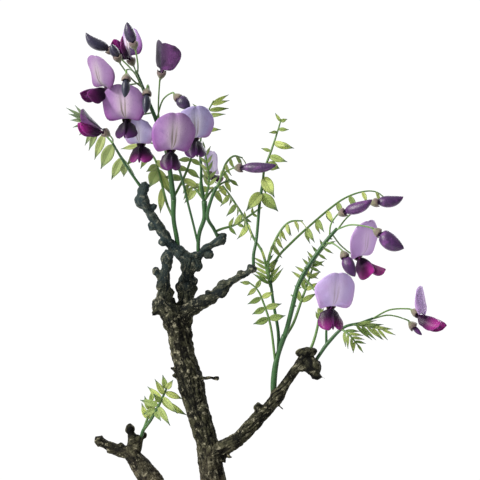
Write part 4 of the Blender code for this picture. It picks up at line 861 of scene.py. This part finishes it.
# The paths of each shoot's green stems
STEMS = {
    "shoot_left_knob": [
        [(-74, -2, 327, 1.1), (-77, -3, 331, 1.0), (-85, -6, 343, 0.9), (-92, -10, 355, 0.8)],
    ],
    "shoot_left": [
        [(-50, 5, 285, 1.6), (-51, 5, 294, 1.6), (-53, 4, 306, 1.5), (-53, 3, 320, 1.9)],
        [(-53, 3, 319, 1.9), (-55, 0, 335, 1.6), (-57, -2, 348, 1.5), (-60, -4, 358, 1.4),
         (-64, -6, 370, 1.4), (-68, -8, 380, 1.3), (-73, -10, 392, 1.2), (-77, -11, 402, 1.0)],
    ],
    "shoot_middle": [
        [(-37, 7, 283, 1.3), (-37, 7, 291, 1.3), (-36, 6, 298, 1.4), (-33, 5, 307, 1.5),
         (-33, 5, 318, 1.9)],
        [(-37, 7, 289, 0.8), (-40, 5, 302, 0.8), (-44, 1, 318, 0.8), (-47, -4, 331, 0.8),
         (-50, -12, 341, 0.7)],
        [(-33, 5, 317, 1.3), (-35, 4, 330, 1.0), (-35, 2, 342, 0.8), (-36, 0, 349, 0.7)],
    ],
    "shoot_stub": [
        [(-24, 10, 294, 1.2), (-27, 7, 300, 1.2), (-31, 1, 308, 1.2), (-28, -1, 320, 1.1),
         (-25, -1, 327, 1.2)],
    ],
    "shoot_small_branch": [
        [(-1, -13, 274, 1.1), (-1, -12, 283, 1.1), (1, -10, 294, 1.0), (3, -8, 317, 1.0),
         (5, -7, 330, 0.9)],
    ],
    "shoot_right": [
        [(12, -9, 192, 2.0), (12, -9, 200, 2.1), (13, -9, 210, 2.0), (15, -9, 219, 1.7),
         (19, -10, 231, 1.9)],
        [(19, -10, 230, 1.8), (21, -11, 237, 1.6), (24, -12, 249, 1.6), (27, -12, 261, 1.5),
         (31, -12, 270, 1.5), (38, -12, 281, 1.4), (46, -12, 292, 1.3), (53, -12, 300, 1.1)],
        [(15, -9, 218, 1.2), (15, -7, 233, 1.1), (12, -5, 251, 1.0), (10, -4, 266, 1.0)],
    ],
    "shoot_right_tip": [
        [(38, -12, 213, 1.2), (42, -12, 219, 1.2), (47, -12, 226, 1.3), (57, -13, 236, 1.0),
         (68, -14, 239, 0.9)],
        [(46, -12, 225, 0.9), (46, -11, 234, 0.8), (47, -10, 246, 0.6)],
        [(68, -14, 239, 0.9), (76, -14, 242, 0.8)],
    ],
    "shoot_young_low": [
        [(-75, 19, 162, 1.2), (-73, 17, 168, 1.2), (-68, 10, 175, 1.1), (-62, 3, 186, 0.9),
         (-57, -2, 197, 0.6)],
    ],
}
# Leaves with leaflets placed one by one: the rib's path, then for each leaflet the share of the rib's length
# where it starts, its tip and its width
PLACED_LEAVES = {
    "shoot_left_knob": [
        ([(-77, -3, 331, 0.8), (-82, 3, 340, 0.8), (-88, 8, 348, 0.7), (-94, 10, 357, 0.7),
          (-101, 11, 364, 0.6), (-108, 11, 370, 0.5), (-112, 11, 373, 0.5)],
         [(0.36, (-94, 14, 332), 6.0), (0.55, (-101, 14, 339), 8.0), (0.7, (-105, 12, 345), 5.5),
          (0.8, (-109, 16, 351), 4.0), (0.84, (-111, 7, 354), 4.0), (0.88, (-115, 12, 361), 3.6),
          (0.91, (-119, 8, 366), 3.0), (0.94, (-121, 14, 371), 2.8), (0.96, (-122, 9, 375), 2.4),
          (1.0, (-123.5, 11, 379), 2.2), (1.0, (-118, 14, 381), 2.0), (0.3, (-86, 15, 334), 4.6)]),
    ],
    "shoot_left": [
        ([(-53, 4, 306, 0.9), (-58, 8, 318, 0.9), (-63, 11, 338, 0.8), (-67, 11, 348, 0.7),
          (-76, 10, 356, 0.5)],
         [(0.4, (-62, 14, 310), 4.6), (0.62, (-69, 14, 327), 8.0), (0.66, (-71, 8, 337), 4.6),
          (0.62, (-55, 15, 322), 5.6), (0.72, (-54, 14, 337), 4.4), (0.94, (-84, 11, 341), 6.0),
          (0.84, (-75, 14, 339), 4.2), (1.0, (-88, 12, 352), 3.4)]),
    ],
    "shoot_middle": [
        ([(-35, 3, 338, 0.8), (-36, 12, 350, 0.7), (-35, 16, 362, 0.6), (-32, 17, 374, 0.5),
          (-27, 16, 384, 0.5)],
         [(0.6, (-22, 18, 365), 3.2), (0.78, (-19, 13, 375), 2.8), (0.86, (-17, 19, 379), 3.0),
          (0.94, (-16.5, 14, 384), 2.6), (1.0, (-17, 17, 388), 2.4), (0.6, (-43, 19, 371), 3.0),
          (0.78, (-41, 17, 382), 2.8)]),
    ],
    "shoot_small_branch": [
        ([(5, -7, 329, 0.9), (6, -6, 338, 0.8), (10, -5, 349, 0.8), (14, -4, 361, 0.6), (17, -3, 371, 0.5)],
         [(0.1, (12.5, -10, 320), 7.6), (0.05, (7, -3, 322), 2.8), (0.3, (16, -2, 339), 6.0),
          (0.42, (21, -8, 343), 4.6), (0.62, (25.5, -2, 352), 4.6), (0.64, (22, -9, 353), 3.4),
          (0.84, (22, -5, 364), 2.6), (1.0, (21, -3, 371), 2.4), (0.5, (4, -3, 352), 2.2),
          (0.8, (9, -6, 362), 2.0), (1.0, (13, -3, 375), 2.0)]),
        ([(1, -10, 294, 0.9), (3, -8, 317, 0.9), (5, -7, 328, 0.9)],
         [(0.86, (-6, -12, 311), 7.2), (0.84, (15, -5, 311), 7.2)]),
    ],
    "shoot_young_low": [
        ([(-73, 17, 168, 1.2), (-68, 10, 175, 1.1), (-62, 3, 186, 0.9), (-57, -2, 197, 0.6)],
         [(0.62, (-75, 9, 188), 4.2), (0.55, (-73, 12, 178.5), 4.0), (0.75, (-70, 4, 197), 3.9),
          (0.85, (-65, -5, 202.5), 3.9), (0.95, (-60, -1, 205), 3.6), (1.0, (-53, -6, 202), 3.6),
          (0.9, (-47, 2, 189), 4.2), (0.72, (-44, 6, 178), 4.6), (0.6, (-55, -4, 172), 4.2),
          (0.8, (-50, -8, 180), 3.9), (0.7, (-66, -6, 193), 3.6), (0.48, (-61, -3, 175), 3.6)]),
    ],
}
# Leaves with leaflets in pairs: the rib's path, the count of pairs, a leaflet's length and width, where on
# the rib they start, their spread in degrees, hang and taper, a seed, and their face if not to the viewer
PAIRED_LEAVES = {
    "shoot_left": [
        ([(-53, 3, 320, 0.9), (-47, 7, 332, 0.9), (-43, 10, 342, 0.8), (-40, 11, 352, 0.6)],
         3, 13, 4.6, 0.4, 55, 0.8, 0.45, 1),
    ],
    "shoot_middle": [
        ([(-33, 5, 318, 0.9), (-30, 2, 329, 0.8), (-31, -1, 341, 0.7), (-33, -1, 352, 0.5)],
         5, 9, 2.2, 0.3, 38, 0.0, 0.3, 2),
        ([(-33, 5, 318, 0.8), (-39, 8, 326, 0.8), (-45, 13, 331, 0.6)], 3, 12, 4.4, 0.45, 55, 0.9, 0.45, 3),
        ([(-33, 5, 318, 0.9), (-28, 11, 325, 0.8), (-21, 16, 330, 0.7), (-15, 19, 332, 0.5)],
         3, 12, 4.6, 0.4, 55, 0.9, 0.45, 4),
    ],
    "shoot_stub": [
        ([(-25, -1, 326, 1.1), (-22, -1, 333, 0.9), (-19, 0, 342, 0.8), (-14, 0, 347, 0.7),
          (-8, 1, 346, 0.5)], 4, 13, 3.2, 0.42, 55, 1.3, 0.45, 5, UPWARDS),
        ([(-26, 8, 298, 0.9), (-21, 10, 300, 0.9), (-14, 9, 302, 0.8), (-7, 8, 306, 0.8), (3, 7, 313, 0.6)],
         4, 7, 2.4, 0.3, 55, 0.1, 0.45, 6),
    ],
    "shoot_right": [
        ([(10, -4, 262, 0.9), (8, -3, 271, 0.9), (6, -3, 280, 0.6)], 5, 13, 2.4, 0.1, 50, 0.0, 0.35, 7),
        ([(27, -12, 261, 0.9), (33, -6, 271, 0.8), (41, -3, 283, 0.7), (48, -3, 291, 0.5)],
         6, 9, 2.2, 0.2, 56, 0.5, 0.3, 18),
        ([(13, -9, 214, 0.9), (10, -13, 237, 0.8), (5, -15, 253, 0.7), (1, -16, 261, 0.6),
          (-5, -17, 266, 0.5)], 4, 12, 4.6, 0.5, 62, 0.5, 0.45, 8),
        ([(19, -10, 229, 1.0), (25, -6, 239, 1.0), (30, -4, 253, 0.9), (34, -3, 264, 0.8),
          (40, -2, 283, 0.5)], 4, 12, 3.4, 0.45, 38, 0.1, 0.45, 9),
        ([(10, -4, 266, 1.0), (14, -1, 280, 0.9), (24, 4, 291, 0.9), (36, 7, 302, 0.8), (49, 9, 313, 0.8),
          (59, 10, 320, 0.7), (70, 10, 324, 0.6), (79, 9, 324, 0.5), (86, 8, 319, 0.5)],
         7, 14, 3.7, 0.42, 60, 1.25, 0.35, 10, UPWARDS),
        ([(9, -4, 268, 0.9), (9, -6, 281, 0.9), (15, -9, 296, 0.8), (22, -10, 304, 0.7),
          (31, -10, 305, 0.5)], 5, 12, 3.2, 0.45, 60, 1.4, 0.3, 11, UPWARDS),
        ([(9, -4, 268, 0.9), (5, -1, 284, 0.9), (-1, 0, 294, 0.9), (-7, -2, 307, 0.8), (-16, -6, 321, 0.7),
          (-21, -8, 328, 0.5)], 4, 15, 4.0, 0.55, 60, 1.2, 0.3, 12, UPWARDS),
    ],
    "shoot_right_tip": [
        ([(63, -14, 238, 0.8), (72, -17, 237, 0.7), (82, -19, 235, 0.5)],
         5, 14, 2.3, 0.1, 24, 0.2, 0.3, 13),
        ([(56, -13, 235, 0.8), (61, -17, 231, 0.7), (66, -20, 225, 0.5)],
         4, 11, 2.2, 0.15, 42, 0.1, 0.3, 14),
    ],
    "shoot_right_tip_stem": [
        ([(34, -12, 219, 1.0), (37, -12, 225, 1.0), (40, -11, 235, 0.9), (42, -10, 247, 0.7)],
         2, 6, 2.1, 0.8, 24, 0.0, 0.2, 15),
    ],
    "shoot_young_low": [
        ([(-73, 17, 168, 1.0), (-70, 14, 177, 0.8), (-68, 12, 187, 0.5)],
         2, 11, 3.8, 0.4, 34, -0.1, 0.2, 17),
    ],
}
# The flowers and buds that each shoot holds, and where on its stem the stalk of each starts
HELD = {
    "shoot_left_knob": {"flower_left_shut": (-92, -10, 355)},
    "shoot_left": {
        "flower_top": (-77, -11, 401), "flower_left": (-74, -10, 394), "bud_top": (-76, -11, 399),
        "bud_left_long": (-76, -11, 398), "bud_left_small": (-73, -10, 391),
        "bud_left_front": (-71, -9, 386), "bud_rib_front": (-68, -8, 380),
        "flower_left_front": (-66, -7, 375), "bud_round": (-64, -6, 369), "flower_opening": (-61, -4, 361),
        "flower_centre": (-58, -3, 352),
    },
    "shoot_middle": {
        "flower_front": (-50, -12, 341), "flower_back": (-36, 0, 348), "flower_small": (-33, 5, 317.5),
    },
    "shoot_stub": {"bud_middle_long": (-22, -1, 333)},
    "shoot_right": {
        "flower_low_front": (31, -12, 269), "flower_right_high": (50, -12, 296),
        "bud_right_low": (45, -12, 291), "bud_right_inner": (48, -12, 295),
        "bud_right_plump": (52, -12, 299), "bud_right_outer": (53, -12, 299),
    },
    "shoot_right_tip": {"flower_far_right": (76, -14, 242), "bud_far_right": (75, -14, 241.5)},
}
# The flower stem that has stubs of flowers: its shoot, and which of the shoot's stems it is
RACEME = ("shoot_right", 1)


def place_of_cup(held):
    """The foot of the calyx of a flower or bud, and its unit axis."""
    if held in FLOWERS:
        foot_at, axis = FLOWERS[held][:2]
        return foot_at, Vector(axis).normalized()
    foot_at, tip = BUDS[held][:2]
    return foot_at, (Vector(tip) - Vector(foot_at)).normalized()


def make_shoot(name, draw):
    """A leafy shoot: its stems, its leaflets and the calyces that it holds, each a piece of its own."""
    stems, blades, cups = new_shape(), new_shape(), new_shape()
    for path in STEMS.get(name, []):
        add_tube(stems, path, *STEM_TUBE, 0.1)
    for path, leaflets in PLACED_LEAVES.get(name, []):
        placed_leaf(stems, blades, draw, path, leaflets)
    for leaf in PAIRED_LEAVES.get(name, []):
        paired_leaf(stems, blades, draw, *leaf)
    held = HELD.get(name, {})
    for flower, start in held.items():
        foot_at, axis = place_of_cup(flower)
        stalk(stems, start, foot_at, axis, 0.8)
        calyx(cups, foot_at, axis, draw.random())
    if name == RACEME[0]:
        raceme_nubs(stems, STEMS[name][RACEME[1]])
    finish(f"{name}_stems", stems, STEM, [name])
    finish(f"{name}_leaflets", blades, LEAF, [name], LEAFLET_THICK)
    if held:
        finish(f"{name}_calyces", cups, CUP, [name], CALYX_THICK)


def raceme_nubs(shape, path):
    """Small stubs round a flower stem, where flowers are still to come or have fallen."""
    draw = random.Random(SEED)
    points = smooth(path, 3)
    for step in range(9):
        place, run = along(points, 0.25 + 0.08 * step)
        turn = Matrix.Rotation(2.4 * step + draw.uniform(-0.3, 0.3), 3, run)
        aim = (turn @ run.orthogonal().normalized() + 0.5 * run).normalized()
        add_tube(shape, [(*place, 0.6), (*(place + 3.1 * aim), 0.5)], 3, 7, 0.7)


def make_shoots():
    draw = random.Random(SEED)
    for name in SHOOTS:
        make_shoot(name, draw)


# Bark

TRUNK = [
    (-16, 3, 34, 12.0), (-17, 2, 52, 13.5), (-18, 2, 66, 12.5), (-20, 1, 82, 10.4), (-24, 0, 110, 9.2),
    (-27, 0, 136, 8.5), (-31, 1, 160, 7.3), (-37, 3, 180, 7.8), (-42, 5, 200, 8.6), (-47, 6, 218, 7.3),
    (-49, 5, 233, 8.0), (-52, 3, 243, 8.2),
]
LIMBS = [
    TRUNK,
    [(-51, 3, 240, 7.5), (-60, -2, 253, 6.2), (-58, -7, 269, 4.8), (-57, -8, 280, 4.4)],
    [(-48, 4, 241, 7.6), (-44, 5, 263, 6.1), (-42, 5, 280, 5.8)],
    [(-43, 5, 279, 5.2), (-57, 3, 292, 3.1), (-69, -1, 311, 3.0), (-73, -2, 328, 3.4)],
    [(-43, 5, 277, 4.5), (-36, 7, 284, 3.1), (-23, 10, 292, 3.0)],
    [(-48, 3, 245, 6.0), (-32, -3, 253, 3.6), (-15, -9, 266, 2.3), (-2, -13, 273, 2.0)],
    [(-31, 1, 151, 6.6), (-10, -5, 164, 4.8), (7, -8, 182, 4.2), (20, -10, 200, 3.2), (33, -12, 219, 3.0)],
    [(-22, 3, 98, 7.5), (-47, 14, 109, 6.6), (-68, 19, 134, 8.2), (-83, 20, 154, 4.6)],
    [(-82, 20, 152, 4.6), (-91, 22, 155, 3.3), (-101, 24, 159, 3.0)],
]


def limb_places(points):
    """For each point, how far along the nearest limb it is, its direction from it, and the limb's radius."""
    best = np.full(len(points), np.inf)
    run_at = np.zeros(len(points))
    out = np.zeros((len(points), 3))
    thick = np.ones(len(points))
    for limb in LIMBS:
        passed = 0.0
        for a, b in zip(limb, limb[1:]):
            start, end = np.array(a[:3]), np.array(b[:3])
            way = end - start
            length = np.linalg.norm(way)
            share = np.clip((points - start) @ way / length**2, 0, 1)
            away = points - (start + share[:, None] * way)
            distance = np.linalg.norm(away, axis=1)
            radius = a[3] + share * (b[3] - a[3])
            nearer = distance / radius < best
            best[nearer] = (distance / radius)[nearer]
            run_at[nearer] = (passed + share * length)[nearer]
            out[nearer] = (away / np.maximum(distance, 1e-6)[:, None])[nearer]
            thick[nearer] = radius[nearer]
            passed += length
    return run_at, out, thick


def even_wood():
    """The wood's own shape in a fine even mesh."""
    piece = bpy.data.objects.new("bark_source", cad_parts["wood"].data.copy())
    bpy.context.scene.collection.objects.link(piece)
    remesh = piece.modifiers.new("even", "REMESH")
    remesh.mode = "VOXEL"
    remesh.voxel_size = BARK_VOXEL * MM
    piece.modifiers.new("soften", "SMOOTH").iterations = 3
    mesh = applied(piece)
    bpy.data.objects.remove(piece)
    return mesh


def vertex_facts(mesh, name):
    """What each vertex has under this name, as rows of three."""
    rows = np.empty(len(mesh.vertices) * 3)
    mesh.vertices.foreach_get(name, rows)
    return rows.reshape(-1, 3)


def relief(place, around, run, thick):
    """How much of a plate a place is, from 0 in a fissure to 1, and how far the bark stands out there."""
    across, lengthwise = FISSURE_PITCH
    lane = Vector((around[0] / across, around[1] / across, around[2] / across + run / lengthwise))
    fissure = abs(noise.noise(lane) + 0.5 * noise.noise(2.1 * lane))
    plate = min(1.0, PLATE_STEEPNESS * fissure)
    lumps = noise.noise(place / LUMP_PITCH[0]) + 0.6 * noise.noise(place / LUMP_PITCH[1])
    rough = noise.noise(place / ROUGH_PITCH)
    size = min(1.0, thick / FULL_RELIEF_RADIUS)
    apart = noise.voronoi(place / BURR_PITCH)[0][0]
    burr = max(0.0, 1 - (apart / BURR_SPREAD) ** 2)
    burr *= min(1.0, max(0.25, (place.z - BURRS_ABOVE) / BURRS_FADE))
    lift = size * (PLATE_HEIGHT * plate - BARK_SUNK) + 0.5 * lumps * (0.4 + 0.6 * size) + 0.2 * rough
    return plate, lift + BURR_HEIGHT * burr * (0.3 + 0.7 * size)


def make_bark():
    """The wood with lumps, fissures along the limbs, rough plates between them, and burrs."""
    mesh = even_wood()
    places = vertex_facts(mesh, "co") / MM
    normals = vertex_facts(mesh, "normal")
    facts = zip(places, *limb_places(places))
    made = [relief(Vector(place), out * thick, run, thick) for place, run, out, thick in facts]
    plates, lifts = np.array(made).T
    places += normals * lifts[:, None]
    mesh.vertices.foreach_set("co", (places * MM).ravel())
    mesh.attributes.new("plate", "FLOAT", "POINT").data.foreach_set("value", plates)
    finish("bark", None, BARK, ["wood"], mesh=mesh)


# Soil surface: grit and moss on the CAD soil


def surface_of(thing):
    """The surface of a thing, to drop others on or keep them clear of."""
    spots = [thing.matrix_world @ spot.co for spot in thing.data.vertices]
    return BVHTree.FromPolygons(spots, [face.vertices for face in thing.data.polygons])


def grain(shape, centre, size, turn, tint):
    """An uneven grain of grit."""
    tints = shape.verts.layers.float["tint"]
    made = bmesh.ops.create_icosphere(shape, subdivisions=1, radius=1.0)["verts"]
    squash = Matrix.Diagonal((size, 0.85 * size, 0.68 * size, 1.0))
    for spot in made:
        bulge = 1 + 0.28 * noise.noise(spot.co * 1.3 + 7 * Vector(centre))
        spot.co = (Matrix.Translation(centre) @ turn @ squash @ (spot.co * bulge)) * MM
        spot[tints] = tint


def drop(surface, x, y):
    """Where a plumb line meets a surface, or None."""
    hit = surface.ray_cast(Vector((x, y, DROP_FROM)) * MM, Vector((0, 0, -1)))[0]
    return None if hit is None else hit / MM


def make_grit(soil, wood):
    """A close layer of fired clay grains over the soil, up to the pot's wall and the roots."""
    low, high = (Vector(corner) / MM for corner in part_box("soil"))
    draw = random.Random(SEED)
    shape = new_shape()
    columns = int((high.x - low.x) / GRAIN_PITCH)
    rows = int((high.y - low.y) / GRAIN_PITCH)
    for i in range(columns + 1):
        for j in range(rows + 1):
            size = draw.uniform(*GRAIN_SIZES)
            x = low.x + (i + 0.5 * (j % 2)) * GRAIN_PITCH + draw.uniform(-1, 1)
            y = low.y + j * GRAIN_PITCH + draw.uniform(-1, 1)
            turn = Matrix.Rotation(draw.uniform(0, math.tau), 4, Vector((draw.random(), draw.random(), 0.4)))
            tint = draw.random()
            spot = drop(soil, x, y)
            if spot is None or not clear_of_rim(soil, x, y, size):
                continue
            if wood.find_nearest(spot * MM)[3] >= GRAIN_FROM_WOOD * size * MM:
                grain(shape, spot + Vector((0, 0, GRAIN_LIFT * size)), size, turn, tint)
    finish("soil_grit", shape, GRIT, None)


def clear_of_rim(soil, x, y, size):
    """True where the soil goes on for a grain's size to every side."""
    sides = ((size, 0), (-size, 0), (0, size), (0, -size))
    return all(drop(soil, x + side_x, y + side_y) is not None for side_x, side_y in sides)


# Moss patches: middle and half sizes
MOSS_PATCHES = [((-48, -30), (17, 11)), ((22, 24), (20, 12)), ((8, -34), (11, 8)), ((-62, 26), (14, 12))]


def make_moss(soil):
    """Low cushions of moss, each a crowd of fine upright blades on a soft mound."""
    draw = random.Random(SEED + 1)
    shape = new_shape()
    for (middle_x, middle_y), (half_x, half_y) in MOSS_PATCHES:
        for _ in range(MOSS_BLADES):
            bearing, share = draw.uniform(0, math.tau), math.sqrt(draw.random())
            ragged = 1 + 0.22 * noise.noise(Vector((3 * math.cos(bearing), 3 * math.sin(bearing), middle_x)))
            x = middle_x + half_x * share * ragged * math.cos(bearing)
            y = middle_y + half_y * share * ragged * math.sin(bearing)
            spot = drop(soil, x, y)
            if spot is None:
                continue
            base = spot + Vector((0, 0, MOSS_HEIGHT * (1 - share**2) + 0.6))
            lean = Vector((draw.uniform(-0.7, 0.7), draw.uniform(-0.7, 0.7), 1.4)).normalized()
            path = [(*(base - 1.2 * lean), 0.5), (*(base + draw.uniform(0.9, 1.9) * lean), 0.12)]
            add_tube(shape, path, 1, 3, draw.random())
    finish("soil_moss", shape, MOSS, None)


def dress_cad_nodes():
    """The nodes that stay as they are get their finished materials."""
    looks = {"pot": CLAY, "soil": SOIL, "drain_screen_left": SCREEN, "drain_screen_right": SCREEN}
    for name, look in looks.items():
        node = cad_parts[name]
        node.data.materials.clear()
        node.data.materials.append(look)


# Studio


def area_light(name, place, size, power, colour, aim=(0, 0, 250)):
    light = bpy.data.lights.new(name, "AREA")
    light.size = size * MM
    light.energy = power
    light.color = colour
    holder = bpy.data.objects.new(name, light)
    holder.location = Vector(place) * MM
    holder.rotation_euler = (Vector(aim) - Vector(place)).to_track_quat("-Z", "Y").to_euler()
    bpy.context.scene.collection.objects.link(holder)


def light_the_world(tree):
    """Bright from behind and above the tree, and dimmer from the front."""
    facing = tree.nodes.new("ShaderNodeVectorMath")
    facing.operation = "DOT_PRODUCT"
    facing.inputs[1].default_value = Vector(BRIGHT_SIDE).normalized()
    strength = tree.nodes.new("ShaderNodeMapRange")
    strength.interpolation_type = "SMOOTHSTEP"
    ends = {"From Min": -0.8, "From Max": 0.6, "To Min": DIM_LIGHT, "To Max": BRIGHT_LIGHT}
    for name, value in ends.items():
        strength.inputs[name].default_value = value
    way = tree.nodes.new("ShaderNodeTexCoord").outputs["Generated"]
    background = tree.nodes["Background"]
    background.inputs["Color"].default_value = (1, 1, 1, 1)
    tree.links.new(way, facing.inputs[0])
    tree.links.new(facing.outputs["Value"], strength.inputs["Value"])
    tree.links.new(strength.outputs["Result"], background.inputs["Strength"])


def make_studio():
    scene = bpy.context.scene
    world = bpy.data.worlds.new("studio")
    world.use_nodes = True
    light_the_world(world.node_tree)
    scene.world = world
    scene.view_settings.view_transform = "Standard"
    area_light("key", (-1100, -700, 1100), 350, 52, (1.0, 0.97, 0.93))
    area_light("back", (500, 900, 900), 600, 14, (0.95, 0.97, 1.0))


def make_floor():
    shape = bmesh.new()
    bmesh.ops.create_circle(shape, cap_ends=True, segments=FLOOR_SIDES, radius=FLOOR_RADIUS * MM)
    mesh = bpy.data.meshes.new("floor")
    shape.to_mesh(mesh)
    shape.free()
    look = Look("floor")
    mesh.materials.append(look.finish(linear(232, 232, 232), 0.9))
    floor = bpy.data.objects.new("floor", mesh)
    bpy.context.scene.collection.objects.link(floor)


def make_camera():
    camera = bpy.data.cameras.new("camera")
    camera.lens = LENS
    camera.sensor_width = SENSOR
    away = VIEW_WIDTH * LENS / SENSOR
    camera.clip_end = CLIP_END
    holder = bpy.data.objects.new("camera", camera)
    holder.location = Vector((VIEW_MIDDLE[0], -away, VIEW_MIDDLE[1])) * MM
    holder.rotation_euler = (math.radians(90), 0, 0)
    bpy.context.scene.collection.objects.link(holder)
    bpy.context.scene.camera = holder


make_shoots()
make_flowers()
make_bark()
SOIL_SURFACE, WOOD_SURFACE = surface_of(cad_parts["soil"]), surface_of(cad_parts["wood"])
make_grit(SOIL_SURFACE, WOOD_SURFACE)
make_moss(SOIL_SURFACE)
dress_cad_nodes()
make_studio()
make_floor()
make_camera()
